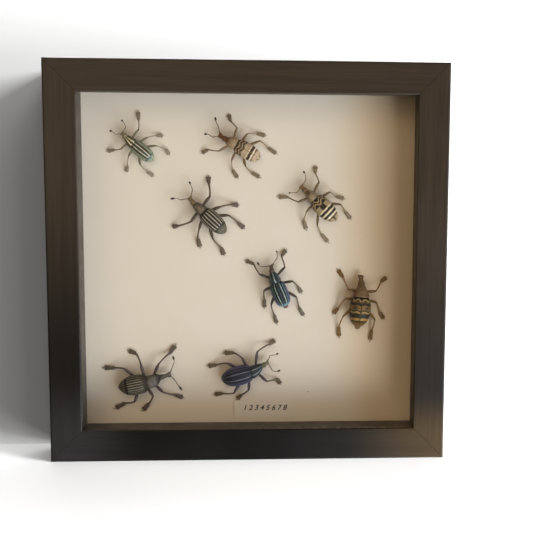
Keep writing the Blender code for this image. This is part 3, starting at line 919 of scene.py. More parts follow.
FLATTEN = 0.86
BELLY_CLEARANCE = 0.9
APEX_HEIGHT = 3.4
HEAD_HEIGHT = 4.4
SNOUT_TIP_HEIGHT = 3.2
NECK_RADIUS = 1.75
HIP_HEIGHT = 3.2
KNEE_HEIGHT = 5.4
ANKLE_HEIGHT = 1.5
TOE_HEIGHT = 0.7
FEELER_HEIGHT = 3.6
PIN_SHARE = 0.2
PIN_DEPTH = 3.2
SHELL_SIDES = 48
GROOVED_LINES = 16  # grooves lie above this line, counted from the top one, 0, to the belly, 24
LIMB_LENGTH = 10.0  # every limb is modelled at this length and stretched to its own
EYE_SPAN = 0.6  # from the middle of the eyes to where the rostrum begins

# Shares of the thorax: the waist's end, the length of the dome that follows, where the rim turns
# in, and where the thorax starts to bend down to the head.
WAIST_END = 0.08
DOME_LENGTH = 0.80
RIM_START = 0.82
DROOP_START = 0.45

HIPS = ((3.0, 1.3), (3.0, -1.3), (-1.4, 2.0), (-1.4, -2.0), (-5.4, 2.4), (-5.4, -2.4))


def limb_rows(*rows):
    """The stations of a limb from (along, half width, half height) and at times up and left."""
    full = []
    for x, wide, high, *more in rows:
        z, y = (*more, 0.0, 0.0)[:2]
        full.append((x, y, z, wide, high))
    return tuple(full)


THIGH = limb_rows(
    (0.0, 0.46, 0.46), (0.5, 0.56, 0.54), (2.2, 0.62, 0.58), (4.2, 0.76, 0.72, 0.05),
    (6.2, 0.9, 0.84, 0.08), (7.8, 0.9, 0.84, 0.06), (9.0, 0.72, 0.68), (9.6, 0.58, 0.56),
    (10.1, 0.52, 0.5), (10.5, 0.26, 0.26),
)
SHIN = limb_rows(
    (-0.2, 0.26, 0.26), (0.1, 0.5, 0.46), (0.9, 0.47, 0.44, 0.0, 0.05),
    (2.6, 0.42, 0.4, 0.0, 0.16), (5.0, 0.42, 0.4, 0.0, 0.24), (7.4, 0.46, 0.42, 0.0, 0.16),
    (9.0, 0.54, 0.46, 0.0, 0.06), (9.9, 0.62, 0.5), (10.2, 0.34, 0.3),
)
PADS = limb_rows(
    (-0.2, 0.24, 0.2), (0.0, 0.52, 0.3), (0.25, 0.96, 0.38), (0.9, 1.1, 0.42),
    (2.0, 1.2, 0.42, -0.02), (2.45, 1.14, 0.36, -0.02), (2.6, 0.7, 0.26), (2.8, 1.06, 0.36, -0.02),
    (3.8, 1.32, 0.42, -0.04), (4.6, 1.3, 0.36, -0.04), (4.8, 0.82, 0.26, -0.02),
    (5.1, 1.14, 0.34, -0.04), (6.4, 1.24, 0.34, -0.06), (7.2, 0.82, 0.2, -0.06),
)
LOBE = limb_rows(
    (5.0, 0.32, 0.18, -0.05, 0.5), (5.4, 0.66, 0.34, -0.08, 0.62), (6.8, 0.72, 0.34, -0.1, 0.74),
    (8.0, 0.62, 0.28, -0.12, 0.78), (8.6, 0.3, 0.12, -0.12, 0.76),
)
CLAW_SEGMENT = limb_rows(
    (6.4, 0.14, 0.14, 0.1), (7.4, 0.2, 0.2, 0.14), (8.8, 0.24, 0.22, 0.1), (9.5, 0.3, 0.28, 0.02),
    (9.8, 0.16, 0.14),
)
CLAW = limb_rows(
    (9.3, 0.12, 0.12, 0.0, 0.1), (9.7, 0.12, 0.12, 0.0, 0.22), (10.2, 0.1, 0.1, -0.06, 0.34),
    (10.7, 0.07, 0.07, -0.16, 0.38), (11.0, 0.03, 0.03, -0.26, 0.34),
)
SCAPE = limb_rows(
    (0.0, 0.2, 0.2), (1.0, 0.23, 0.23), (5.0, 0.25, 0.25, 0.05), (8.0, 0.31, 0.31, 0.05),
    (9.6, 0.36, 0.36), (10.1, 0.18, 0.18),
)
BEADS = limb_rows(*(
    (round(bead * 1.6 + step, 2), radius, radius)
    for bead in range(6) for step, radius in ((0.0, 0.16), (0.45, 0.29), (1.1, 0.32), (1.5, 0.16))
), (10.0, 0.12, 0.12))
CLUB = limb_rows(
    (-0.1, 0.16, 0.16), (1.4, 0.26, 0.26), (2.4, 0.2, 0.2), (3.4, 0.46, 0.42), (5.4, 0.68, 0.6),
    (7.4, 0.66, 0.58), (9.0, 0.42, 0.38), (10.0, 0.12, 0.12),
)
EYE = limb_rows(
    (-0.3, 0.4, 0.52), (0.0, 0.5, 0.64), (0.22, 0.44, 0.56), (0.38, 0.28, 0.36), (0.44, 0.1, 0.12),
)
PIN = limb_rows(
    (0.0, 0.2, 0.2), (0.3, 0.34, 0.34), (9.4, 0.34, 0.34), (10.0, 0.08, 0.08),
)

# Stations of the thorax, as shares of the way from the waist to the head.
THORAX = (-0.02, 0.01, 0.05, 0.12, 0.22, 0.33, 0.44, 0.55, 0.66, 0.76, 0.84, 0.90)

# Share of the way from the eyes to the tip, half width and half height.
ROSTRUM = (
    (0.12, 1.36, 1.22), (0.30, 1.12, 1.02), (0.50, 1.16, 0.98), (0.68, 1.46, 0.98),
    (0.84, 1.84, 0.96), (0.95, 1.76, 0.78), (1.0, 1.10, 0.46),
)

# Share of the wing cases' length behind the waist, and of their half width.
SHOULDERS = (
    (-0.015, 0.52), (0.0, 0.66), (0.02, 0.76), (0.055, 0.84), (0.10, 0.90), (0.16, 0.945),
    (0.24, 0.98), (0.33, 1.0), (0.40, 1.0),
)
TAIL = (0.50, 0.60, 0.68, 0.75, 0.81, 0.865, 0.91, 0.95, 0.98, 1.0)

# A leg is the x and y of its knee, ankle and toe, from the front left one to the rear right one,
# and a feeler those of its elbow, its bend and its tip. COMMON holds what most weevils share.
COMMON = dict(abdomen=0.0, brow=1.0)
WEEVILS = {
    "green_striped": dict(
        at=(-67.6, 69.1), heading=141, length=15.4, width=8.6, shoulder=0.8, dome=1.25,
        tail=(3.2, 1.2), head=(6.6, -0.5), snout=(9.8, -1.0), limb=0.85,
        legs=((3.6, 6.6, 7.0, 9.8, 10.0, 13.4), (2.8, -8.6, 6.8, -13.0, 10.4, -17.0),
              (-2.2, 7.2, -5.0, 12.4, -6.4, 16.0), (-4.0, -8.2, -7.0, -12.4, -10.0, -15.2),
              (-10.6, 6.8, -16.0, 7.6, -20.6, 7.2), (-10.6, -7.4, -16.2, -9.8, -19.8, -8.2)),
        feelers=((11.6, 2.2, 13.8, 2.0, 15.8, 2.6), (9.6, -5.0, 12.6, -6.4, 14.2, -6.6)),
    ),
    "rusty_headed": dict(
        at=(-7.4, 69.2), heading=150, length=16.2, width=9.6, shoulder=0.8, dome=2.1,
        tail=(2.5, 2.1), head=(7.4, 0.4), snout=(12.0, 0.0), limb=0.9,
        legs=((7.0, 8.4, 13.2, 10.8, 15.6, 14.8), (4.4, -8.6, 10.0, -10.4, 13.0, -13.8),
              (-2.2, 9.2, -5.4, 13.8, -10.8, 16.6), (-2.6, -9.0, -7.2, -12.0, -12.6, -13.8),
              (-10.8, 8.0, -15.8, 9.4, -22.2, 9.4), (-11.0, -9.0, -17.0, -8.0, -23.8, -7.8)),
        feelers=((14.2, 3.2, 17.4, 3.0, 19.6, 4.2), (14.4, -4.0, 16.8, -5.4, 18.8, -7.8)),
    ),
    "grey_ribbed": dict(
        at=(-26.8, 29.5), heading=137, length=17.8, width=10.6, shoulder=0.68, dome=1.35,
        tail=(2.2, 1.8), head=(8.4, 0.2), snout=(12.4, -0.6), limb=1.3,
        legs=((1.6, 9.0, 5.8, 16.6, 8.2, 19.6), (3.6, -9.4, 9.6, -14.6, 12.8, -17.8),
              (-4.8, 9.2, -8.2, 14.0, -13.0, 17.4), (-4.8, -8.8, -9.2, -14.8, -12.6, -17.4),
              (-14.6, 7.8, -22.2, 8.6, -26.6, 11.0), (-11.8, -8.6, -19.2, -9.2, -24.6, -9.4)),
        feelers=((15.0, 4.2, 17.2, 4.8, 19.8, 7.8), (13.6, -5.0, 16.4, -6.6, 18.6, -7.4)),
    ),
    "white_banded": dict(
        at=(39.3, 37.3), heading=137, length=18.0, width=10.8, shoulder=0.62, dome=1.7,
        tail=(2.3, 1.9), head=(8.0, 0.0), snout=(11.8, -0.2), limb=0.95,
        legs=((6.2, 7.8, 12.8, 10.0, 17.2, 14.2), (5.2, -9.0, 10.6, -11.8, 13.2, -15.4),
              (-1.4, 8.6, -4.0, 13.6, -9.4, 16.6), (-3.4, -9.2, -8.4, -10.2, -13.4, -13.0),
              (-11.4, 10.0, -17.4, 12.2, -24.4, 13.0), (-13.2, -8.4, -18.6, -7.4, -24.6, -6.6)),
        feelers=((10.6, 4.4, 13.0, 6.8, 14.0, 7.8), (11.8, -4.8, 14.4, -7.2, 16.6, -7.4)),
    ),
    "blue_striped": dict(
        at=(16.0, -12.4), heading=113, length=15.6, width=10.0, shoulder=0.76, dome=1.35,
        tail=(3.4, 2.4), head=(7.4, -0.6), snout=(11.0, -2.0), limb=1.0, abdomen=1.4,
        legs=((8.4, 7.0, 15.2, 7.8, 19.2, 11.8), (6.4, -8.6, 13.0, -9.4, 15.6, -14.0),
              (-1.8, 8.4, -7.2, 10.2, -12.4, 12.6), (-3.2, -9.6, -8.6, -11.6, -12.8, -12.0),
              (-11.4, 7.8, -18.4, 8.4, -24.4, 9.2), (-12.8, -8.0, -20.0, -7.0, -26.4, -8.0)),
        feelers=((11.4, 2.8, 12.6, 5.0, 15.6, 5.4), (13.2, -6.6, 15.8, -7.8, 17.4, -7.8)),
    ),
    "yellow_banded": dict(
        at=(67.6, -21.0), heading=85, length=18.8, width=13.0, shoulder=0.8, dome=0.85,
        tail=(2.2, 1.9), head=(8.0, 0.4), snout=(13.0, 1.2), limb=1.1, abdomen=1.5, brow=1.3,
        legs=((3.6, 7.8, 10.8, 11.6, 15.0, 15.2), (4.0, -8.6, 10.0, -11.8, 13.0, -15.6),
              (-2.2, 9.4, -8.4, 12.6, -12.8, 15.6), (-2.6, -9.6, -9.0, -13.0, -13.2, -16.4),
              (-12.6, 9.4, -20.0, 11.2, -26.8, 10.2), (-13.2, -9.8, -20.4, -9.2, -27.4, -8.8)),
        feelers=(),
    ),
    "brown_ribbed": dict(
        at=(-61.2, -72.7), heading=11, length=18.2, width=12.2, shoulder=0.66, dome=3.6,
        tail=(2.4, 1.25), head=(9.2, 1.4), snout=(14.6, 1.8), limb=1.3,
        legs=((8.8, 9.6, 16.4, 14.4, 21.0, 18.6), (7.8, -7.6, 14.4, -11.6, 19.0, -14.6),
              (-1.6, 11.4, -3.6, 18.0, -8.4, 20.8), (1.6, -9.0, -2.6, -13.8, -7.4, -17.6),
              (-12.0, 11.0, -18.2, 12.0, -25.2, 13.2), (-9.8, -10.0, -16.4, -10.6, -23.6, -12.8)),
        feelers=((15.4, 4.4, 18.2, 9.0, 18.0, 12.6), (16.0, -1.8, 17.2, -5.0, 19.2, -9.4)),
    ),
    "navy_striped": dict(
        at=(1.2, -66.8), heading=15, length=18.6, width=12.2, shoulder=0.68, dome=1.6,
        tail=(2.1, 1.9), head=(8.6, 2.0), snout=(11.8, 3.2), limb=1.2,
        legs=((6.8, 11.0, 14.8, 13.0, 19.6, 14.4), (7.6, -8.0, 14.0, -8.8, 15.4, -13.2),
              (-2.8, 9.4, -7.2, 13.6, -13.6, 15.0), (-4.2, -10.2, -9.6, -12.8, -13.2, -15.0),
              (-12.4, 9.0, -19.6, 9.2, -25.2, 9.6), (-13.4, -9.8, -20.6, -8.8, -25.8, -8.2)),
        feelers=((13.6, 6.4, 16.8, 6.0, 19.0, 6.4), (12.6, -3.0, 14.8, -4.2, 17.4, -4.0)),
    ),
}


def patch(red, green, blue, along=0.5, half=1.0, across=0.0, reach=2.0, **more):
    """A patch of colour: its middle and half length along a shell, then the same across it."""
    place = dict(Along=along, Along_Half=half, Across=across, Across_Half=reach)
    return tint(red, green, blue), {**place, **more}


# Colours are given as 0 to 255. Ribs are (colour, count on each side, width, where they end), and
# limbs are the tones of thighs, shins, feet and feelers.
COATS = {
    "green_striped": dict(
        shell=(135, 138, 115),
        patches=(
            patch(62, 62, 49, 0.36, 0.44, 0.0, 0.4, Slant=-0.04),
            patch(224, 216, 191, 0.36, 0.4, 0.16, 0.034, Slant=-0.03),
            patch(212, 210, 187, 0.765, 0.014, 0.0, 0.17),
            patch(64, 79, 78, 0.815, 0.022, 0.0, 0.8, Chevron=-0.06),
            patch(117, 136, 132, 0.865, 0.03, 0.0, 0.32, Chevron=-0.08),
            patch(144, 140, 117, 0.96, 0.05, Soft=0.04), patch(68, 79, 72, reach=0.035),
        ),
        thorax=(80, 74, 54),
        thorax_patches=(
            patch(244, 231, 190, across=0.22, reach=0.06, Slant=-0.06),
            patch(139, 136, 109, across=1.0, reach=0.36, Soft=0.15),
        ),
        head=(145, 133, 109),
        limbs=((122, 115, 95), (139, 127, 106), (131, 118, 100), (130, 119, 100)),
    ),
    "rusty_headed": dict(
        shell=(175, 151, 122),
        patches=(
            patch(52, 38, 25, 0.05, 0.045, Wave=0.02, Waves=2.0),
            patch(171, 145, 108, 0.115, 0.026, Wave=0.03, Waves=3.0),
            patch(54, 40, 27, 0.175, 0.036, Wave=0.03, Waves=3.0),
            patch(165, 139, 102, 0.225, 0.016, Wave=0.03, Waves=3.0),
            patch(52, 38, 25, 0.285, 0.032, Wave=0.03, Waves=3.0),
            patch(231, 212, 180, 0.535, 0.02),
            patch(69, 50, 35, 0.61, 0.056, Wave=0.008, Waves=4.0),
            patch(231, 214, 183, 0.69, 0.022), patch(73, 57, 41, 0.735, 0.018),
            patch(95, 79, 61, 0.93, 0.035, 0.3, 0.1, Soft=0.05),
            patch(114, 93, 69, 0.5, 0.6, 0.0, 0.03),
        ),
        thorax=(158, 135, 106),
        thorax_patches=(
            patch(93, 51, 30, 0.92, 0.18, 0.0, 0.16, Slant=0.25, Soft=0.1),
            patch(139, 96, 66, 1.0, 0.12, Soft=0.2), patch(79, 61, 44, 0.0, 0.04),
        ),
        head=(106, 67, 37), limbs=((124, 100, 72), (140, 116, 87), (114, 96, 73), (97, 64, 41)),
    ),
    "grey_ribbed": dict(
        shell=(34, 31, 24), ribs=((168, 157, 136), 4.0, 0.34, 0.74),
        patches=(
            patch(33, 28, 24, 0.0, 0.065), patch(88, 83, 65, 0.9, 0.16),
            patch(33, 34, 28, 0.735, 0.022, Chevron=0.02),
        ),
        thorax=(96, 88, 72),
        thorax_patches=(
            patch(41, 36, 30, 0.0, 0.08), patch(124, 110, 88, 0.5, 0.34, 0.0, 0.3, Soft=0.25),
        ),
        head=(133, 114, 87), limbs=((84, 69, 55), (100, 82, 64), (97, 82, 70), (101, 82, 62)),
    ),
    "white_banded": dict(
        shell=(162, 140, 106),
        patches=(
            patch(39, 31, 22, 0.11, 0.16),
            patch(201, 169, 126, 0.085, 0.018, 0.0, 0.8, Wave=0.05, Waves=3.0),
            patch(197, 165, 120, 0.185, 0.018, 0.0, 0.85, Wave=0.05, Waves=3.0),
            patch(45, 37, 27, 0.36, 0.09, 0.0, 0.2), patch(225, 207, 171, 0.475, 0.02),
            patch(45, 37, 27, 0.545, 0.045, Wave=0.01, Waves=4.0),
            patch(225, 207, 172, 0.62, 0.024), patch(45, 37, 27, 0.69, 0.042),
            patch(227, 209, 174, 0.765, 0.024), patch(49, 41, 31, 0.815, 0.022),
            patch(57, 49, 38, 0.92, 0.1, 0.0, 0.1),
        ),
        thorax=(142, 124, 98),
        thorax_patches=(
            patch(99, 78, 53, 0.85, 0.2, 0.1, 0.2, Soft=0.15), patch(48, 39, 30, 0.0, 0.05),
        ),
        head=(137, 115, 79), limbs=((116, 96, 64), (141, 122, 86), (127, 109, 83), (125, 105, 68)),
    ),
    "blue_striped": dict(
        shell=(84, 85, 115),
        patches=(
            patch(20, 27, 32, 0.42, 0.5, 0.0, 0.66, Slant=-0.12),
            patch(87, 114, 120, 0.46, 0.46, 0.0, 0.012),
            patch(174, 194, 180, 0.47, 0.45, 0.24, 0.026),
            patch(121, 151, 146, 0.52, 0.42, 0.5, 0.022, Slant=-0.06),
            patch(101, 135, 146, 0.945, 0.05, 0.0, 0.9, Soft=0.06), patch(130, 75, 59, 1.0, 0.02),
        ),
        thorax=(40, 50, 53),
        thorax_patches=(
            patch(174, 188, 186, reach=0.055), patch(97, 124, 123, across=0.5, reach=0.04),
            patch(105, 108, 139, across=1.1, reach=0.3, Soft=0.15),
        ),
        head=(94, 83, 68), tail=(110, 87, 70),
        limbs=((68, 58, 49), (99, 84, 70), (99, 88, 71), (92, 81, 57)),
    ),
    "yellow_banded": dict(
        shell=(124, 94, 50),
        patches=(
            patch(36, 27, 15, 0.07, 0.09),
            patch(185, 158, 99, 0.105, 0.018, 0.0, 0.75, Wave=0.03, Waves=4.0),
            patch(38, 31, 20, 0.225, 0.045, Wave=0.01, Waves=4.0),
            patch(70, 56, 33, 0.35, 0.05, 0.38, 0.15, Soft=0.06),
            patch(34, 27, 16, 0.445, 0.024, Wave=0.018, Waves=4.0),
            patch(174, 144, 86, 0.49, 0.017, Wave=0.018, Waves=4.0),
            patch(36, 33, 27, 0.6, 0.075, Wave=0.012, Waves=4.0),
            patch(160, 125, 61, 0.715, 0.036), patch(48, 35, 18, 0.79, 0.032),
            patch(103, 71, 34, 0.93, 0.11), patch(46, 35, 20, 0.45, 0.4, 0.0, 0.03),
            patch(99, 72, 61, 0.55, 0.3, 1.15, 0.25, Soft=0.12),
        ),
        thorax=(120, 95, 65),
        thorax_patches=(
            patch(44, 32, 20, 0.0, 0.04), patch(118, 73, 41, 0.2, 0.4, 0.9, 0.3, Soft=0.3),
        ),
        head=(98, 72, 38), tail=(133, 107, 69),
        limbs=((118, 88, 45), (143, 109, 60), (112, 82, 40), (92, 72, 50)),
    ),
    "brown_ribbed": dict(
        shell=(37, 32, 27), ribs=((135, 127, 107), 6.0, 0.32, 0.86),
        patches=(
            patch(47, 42, 34, 0.04, 0.09, Soft=0.1), patch(70, 49, 39, 0.95, 0.1),
            patch(25, 20, 17, 0.685, 0.034),
        ),
        thorax=(54, 49, 42),
        thorax_patches=(
            patch(98, 92, 85, 0.36, 0.34, 0.0, 0.8, Soft=0.1),
        ),
        head=(83, 73, 60), limbs=((79, 64, 64), (99, 85, 74), (90, 79, 67), (66, 55, 45)),
    ),
    "navy_striped": dict(
        shell=(79, 75, 105),
        patches=(
            patch(34, 35, 45, 0.45, 0.52, 0.0, 0.6, Soft=0.05),
            patch(26, 27, 36, 0.48, 0.46, 0.34, 0.07),
            patch(109, 111, 125, 0.48, 0.42, 0.2, 0.024),
            patch(87, 89, 113, 0.48, 0.42, 0.48, 0.022, Slant=-0.04),
            patch(70, 64, 88, 1.0, 0.06, Soft=0.1),
        ),
        thorax=(39, 43, 48),
        thorax_patches=(
            patch(127, 133, 126, across=0.24, reach=0.04),
            patch(85, 99, 103, across=0.75, reach=0.08),
        ),
        head=(110, 102, 78), limbs=((79, 69, 73), (102, 86, 74), (97, 83, 62), (85, 73, 59)),
    ),
}


def body_height(weevil, share):
    """Height of the middle of the wing cases at a share of their length."""
    top = weevil["width"] / 2 * FLATTEN + BELLY_CLEARANCE
    rise = min(1.0, (1.0 - share) / 0.4)
    return APEX_HEIGHT + (top - APEX_HEIGHT) * math.sin(rise * math.pi / 2)


def shell_stations(weevil):
    half = weevil["width"] / 2
    start, (fall, point) = SHOULDERS[-1][0], weevil["tail"]
    outline = [*SHOULDERS]
    for share in TAIL:
        narrowing = ((share - start) / (1.0 - start)) ** fall
        outline.append((share, max(0.07, (1.0 - narrowing) ** (1.0 / point))))
    rows = []
    for share, radius in outline:
        wide, height = radius * half, body_height(weevil, max(share, 0.0))
        rows.append((-share * weevil["length"], 0.0, height, wide, wide * FLATTEN))
    return rows


def thorax_stations(weevil):
    """A dome from the shoulders to the neck, drawn in at the waist and turned in at its rim."""
    half = weevil["width"] / 2
    shoulder, neck = weevil["shoulder"] * half, NECK_RADIUS * weevil["brow"]
    top = half * FLATTEN + BELLY_CLEARANCE
    head_x, head_y = weevil["head"]
    rows = []
    for share in THORAX:
        base = 1.0 - 0.30 * max(0.0, WAIST_END - share) / 0.10
        ahead = max(0.0, share - WAIST_END) / DOME_LENGTH
        full = base * (1.0 - min(1.0, ahead) ** weevil["dome"])
        rim = 0.25 * max(0.0, share - RIM_START) / 0.08
        radius = (neck + (shoulder - neck) * full) * (1.0 - rim)
        drop = min(1.0, max(0.0, (share - DROOP_START) / DROOP_START)) ** 1.5
        height = top + (HEAD_HEIGHT - top) * drop
        bend = head_y * min(1.0, 1.15 * max(share, 0.0) ** 2)
        rows.append((share * head_x, bend, height, radius, radius * 0.9))
    return rows


def head_stations(weevil):
    """From inside the thorax to the eyes, and on to the tip of the rostrum."""
    (head_x, head_y), (snout_x, snout_y) = weevil["head"], weevil["snout"]
    brow = weevil["brow"]
    rows = [
        (head_x * 0.78, head_y * 0.74, HEAD_HEIGHT, 1.42 * brow, 1.35),
        (head_x * 0.88, head_y * 0.86, HEAD_HEIGHT, 1.62 * brow, 1.50),
        (head_x, head_y, HEAD_HEIGHT, 1.66 * brow, 1.52),
        (head_x + EYE_SPAN, head_y, HEAD_HEIGHT - 0.05, 1.56 * brow, 1.44),
    ]
    for share, wide, high in ROSTRUM:
        x = head_x + EYE_SPAN + (snout_x - head_x - EYE_SPAN) * share
        y = head_y + (snout_y - head_y) * share
        height = HEAD_HEIGHT + (SNOUT_TIP_HEIGHT - HEAD_HEIGHT) * share
        rows.append((x, y, height, wide * (brow + (1.0 - brow) * share), high))
    return rows


def tail_stations(weevil):
    end, reach = -weevil["length"], weevil["abdomen"]
    return [
        (x, 0.0, APEX_HEIGHT - drop, wide, high) for x, drop, wide, high in (
            (end * 0.88, 0.0, 0.9, 0.8), (end * 0.92, 0.0, 1.7, 1.3), (end, 0.0, 1.8, 1.2),
            (end - 0.5 * reach, 0.2, 1.6, 1.0), (end - 0.9 * reach, 0.3, 1.0, 0.6),
            (end - reach, 0.35, 0.3, 0.2),
        )
    ]


def make_shell(weevil, groove):
    """The two closed wing cases, with grooves between their ribs and a suture on top."""
    rows = shell_stations(weevil)
    shell = loft("wing_cases", SHELL_SIDES, rows)
    turns = tube_place(shell, rows)[:, 0]
    lines = np.rint(turns * SHELL_SIDES / 4).astype(int)
    edit(shell)
    swell_points(lambda v: lines[v.index] % 2 == 0 and lines[v.index] < GROOVED_LINES, -groove)
    raise_points(lambda v: lines[v.index] == 0, -0.6 * groove)
    pick("VERT", lambda v: turns[v.index] > 1.3)
    bpy.ops.transform.resize(value=(1.0, 1.0, 0.82), center_override=(0.0, 0.0, rows[6][2] * MM))
    leave_edit()
    return rounded_off(shell, rows, 2)


def make_thorax(weevil, relief):
    """The domed shield behind the head, with a furrow on top and a low swelling beside it."""
    rows = thorax_stations(weevil)
    thorax = loft("thorax", 32, rows)
    turns, along, _ = tube_place(thorax, rows).T
    edit(thorax)
    raise_points(lambda v: turns[v.index] < 0.03 and 0.1 < along[v.index] < 0.9, -relief)
    swell_points(lambda v: 0.25 < turns[v.index] < 0.5 and 0.2 < along[v.index] < 0.75, relief)
    leave_edit()
    return rounded_off(thorax, rows, 2)


def make_tail(weevil):
    """The end of the abdomen, where it shows past the wing cases."""
    rows = tail_stations(weevil)
    return rounded_off(loft("tail", 16, rows), rows, 1)


def make_head(weevil):
    """The head and its broad rostrum, which has a furrow along its top."""
    rows = head_stations(weevil)
    head = loft("head", 20, rows)
    turns, along, _ = tube_place(head, rows).T
    snout = (along > 0.45) & (along < 0.97)
    edit(head)
    raise_points(lambda v: snout[v.index] and turns[v.index] < 0.05, -0.22 * MM)
    raise_points(lambda v: snout[v.index] and 0.15 < turns[v.index] < 0.3, 0.08 * MM)
    leave_edit()
    return rounded_off(head, rows, 1)


# ---- the weevils: limbs, each modelled once along X ----

def limb(name, segment, *tubes):
    """A limb of LIMB_LENGTH, marked with its segment's number and the share along it."""
    piece = join([loft(*tube) for tube in tubes], name)
    finish_modifier(piece, "SUBSURF", levels=1, render_levels=1)
    points = coordinates(piece)
    values = np.zeros_like(points)
    values[:, 0] = segment + np.clip(points[:, 0] / (LIMB_LENGTH * MM), 0.0, 0.999)
    mark(piece, values)
    return piece


def mirrored(rows):
    return [(x, -y, z, wide, high) for x, y, z, wide, high in rows]


def make_templates():
    """The limbs. A foot has flat pads, the last one split in two, and a thin segment with claws."""
    return {
        "thigh": limb("thigh", 0.0, ("thigh", 12, THIGH)),
        "shin": limb("shin", 1.0, ("shin", 10, SHIN)),
        "foot": limb(
            "foot", 2.0, ("pads", 12, PADS), ("claw_segment", 8, CLAW_SEGMENT),
            ("lobe", 8, mirrored(LOBE)), ("claw", 6, mirrored(CLAW)), ("lobe", 8, LOBE),
            ("claw", 6, CLAW),
        ),
        "scape": limb("scape", 3.0, ("scape", 8, SCAPE)),
        "beads": limb("beads", 4.0, ("beads", 8, BEADS)),
        "club": limb("club", 5.0, ("club", 10, CLUB)),
        "eye": loft("eye", 12, EYE),
        "pin": loft("pin", 8, PIN),
    }


def aim(start, end, thick=1.0, side=1.0):
    """The matrix that lays a limb from one point to another, with its top away from the board."""
    start, end = Vector(start), Vector(end)
    along = end - start
    forward = along.normalized()
    left = Vector((0.0, 0.0, 1.0)).cross(forward)
    left = left.normalized() if left.length > 0.01 else Vector((0.0, 1.0, 0.0))
    up = forward.cross(left)
    stretch = along.length / LIMB_LENGTH
    turn = Matrix((forward * stretch, left * side * thick, up * thick)).transposed().to_4x4()
    return Matrix.Translation(start * MM) @ turn


def limb_places(weevil):
    """(template, matrix) for every limb of a weevil."""
    def raised(bends, *heights):
        return [(x, y, z) for x, y, z in zip(bends[::2], bends[1::2], heights)]

    (head_x, head_y), (snout_x, snout_y) = weevil["head"], weevil["snout"]
    for number, (hip, bends) in enumerate(zip(HIPS, weevil["legs"])):
        side = 1.0 if number % 2 == 0 else -1.0
        knee, ankle, toe = raised(bends, KNEE_HEIGHT, ANKLE_HEIGHT, TOE_HEIGHT)
        bowed = side if number < 2 else -side
        slim = weevil["limb"] ** 0.5
        yield "thigh", aim((*hip, HIP_HEIGHT), knee, slim, side)
        yield "shin", aim(knee, ankle, weevil["limb"], bowed)
        yield "foot", aim(ankle, toe, slim, side)
    root = (head_x + (snout_x - head_x) * 0.8, head_y + (snout_y - head_y) * 0.8)
    for bends in weevil["feelers"]:
        points = raised((*root, *bends), SNOUT_TIP_HEIGHT, *[FEELER_HEIGHT] * 3)
        for kind, start, end in zip(("scape", "beads", "club"), points, points[1:]):
            yield kind, aim(start, end)
    for side in (-1.0, 1.0):
        brow = Vector((head_x + 0.35, head_y + side * 1.15, HEAD_HEIGHT + 0.55))
        out = Vector((0.15, side * 0.85, 0.5)).normalized()
        yield "eye", aim(brow, brow + out * LIMB_LENGTH)
    spot = -PIN_SHARE * weevil["length"]
    yield "pin", aim((spot, 0.0, HIP_HEIGHT), (spot, 0.0, -PIN_DEPTH))


# ---- the weevils: finishes ----

def scaled(g, scales, colour, tones, roughness, strength, *clouds):
    """Shades a colour with tiny scales and any clouds, and feeds all of it to the shader."""
    for shade in (g.ramp(scales["Tone"], 0.0, 1.0, *tones), *clouds):
        colour = g.shaded(colour, shade)
    return g.shade(
        Base_Color=colour,
        Roughness=g.ramp(scales["Tone"], 0.0, 1.0, *roughness),
        Normal=g.bump(scales["Height"], 0.03, strength),
    )


def coated(name, base, patches=(), ribs=None, rough=0.42):
    """A coat of tiny scales: a ground colour, lines along the ribs and patches laid over it."""
    g = Finish(name, Specular_IOR_Level=0.25)
    spot = g.put("Attribute", attribute_name="place")["Vector"]
    scales = g.effect(weevil_scales, Vector=g.place)
    common = dict(Place=spot, Ragged=g.times(scales["Ragged"], 0.07))
    colour = tint(*base)
    if ribs:
        line, count, width, limit = ribs
        lines = g.effect(rib_lines, **common, Count=count, Fill=width)["Mask"]
        ends = dict(Along=limit / 2, Along_Half=limit / 2 - 0.03, Across_Half=1.15)
        kept = g.effect(colour_patch, **common, **ends)["Mask"]
        colour = g.blend(g.times(lines, kept), colour, tint(*line))
    for tone, place in patches:
        colour = g.blend(g.effect(colour_patch, **common, **place)["Mask"], colour, tone)
    clouds = g.ramp(g.noise(g.place, 520.0, 3.0, 0.6), 0.3, 0.7, 0.78, 1.15)
    return scaled(g, scales, colour, (0.62, 1.30), (rough - 0.08, rough + 0.14), 0.6, clouds)


def limb_finish(name, tones):
    """Thighs, shins, feet and feelers take their own tones, darker at each joint."""
    g = Finish(name, Specular_IOR_Level=0.3)
    segment = g.split(g.put("Attribute", attribute_name="place")["Vector"])[0]
    scales = g.effect(weevil_scales, Vector=g.place, Size=0.00012)
    colour = tint(*tones[0])
    for number, tone in enumerate(tones[1:], 1):
        past = g.calc("GREATER_THAN", segment, number - 0.0005)
        colour = g.blend(past, colour, tint(*tone))
    from_middle = g.calc("ABSOLUTE", g.minus(g.calc("FRACT", segment), 0.5))
    joint = g.times(g.ramp(from_middle, 0.40, 0.5), 0.6)
    club = g.calc("GREATER_THAN", segment, 5.3)
    colour = g.lay(colour, (joint, tint(38, 32, 28)), (club, tint(52, 43, 33)))
    return scaled(g, scales, colour, (0.65, 1.25), (0.36, 0.56), 0.5)


def eye_finish():
    """Black facets under a gloss."""
    g = Finish("weevil_eye", Coat_Weight=0.6, Coat_Roughness=0.12)
    facets = g.effect(weevil_scales, Vector=g.place, Size=0.00008)
    return g.shade(
        Base_Color=g.blend(g.ramp(facets["Tone"], 0.2, 0.8), tint(16, 14, 13), tint(40, 34, 30)),
        Roughness=g.ramp(facets["Tone"], 0.0, 1.0, 0.2, 0.34),
        Normal=g.bump(facets["Height"], 0.01, 0.4),
    )


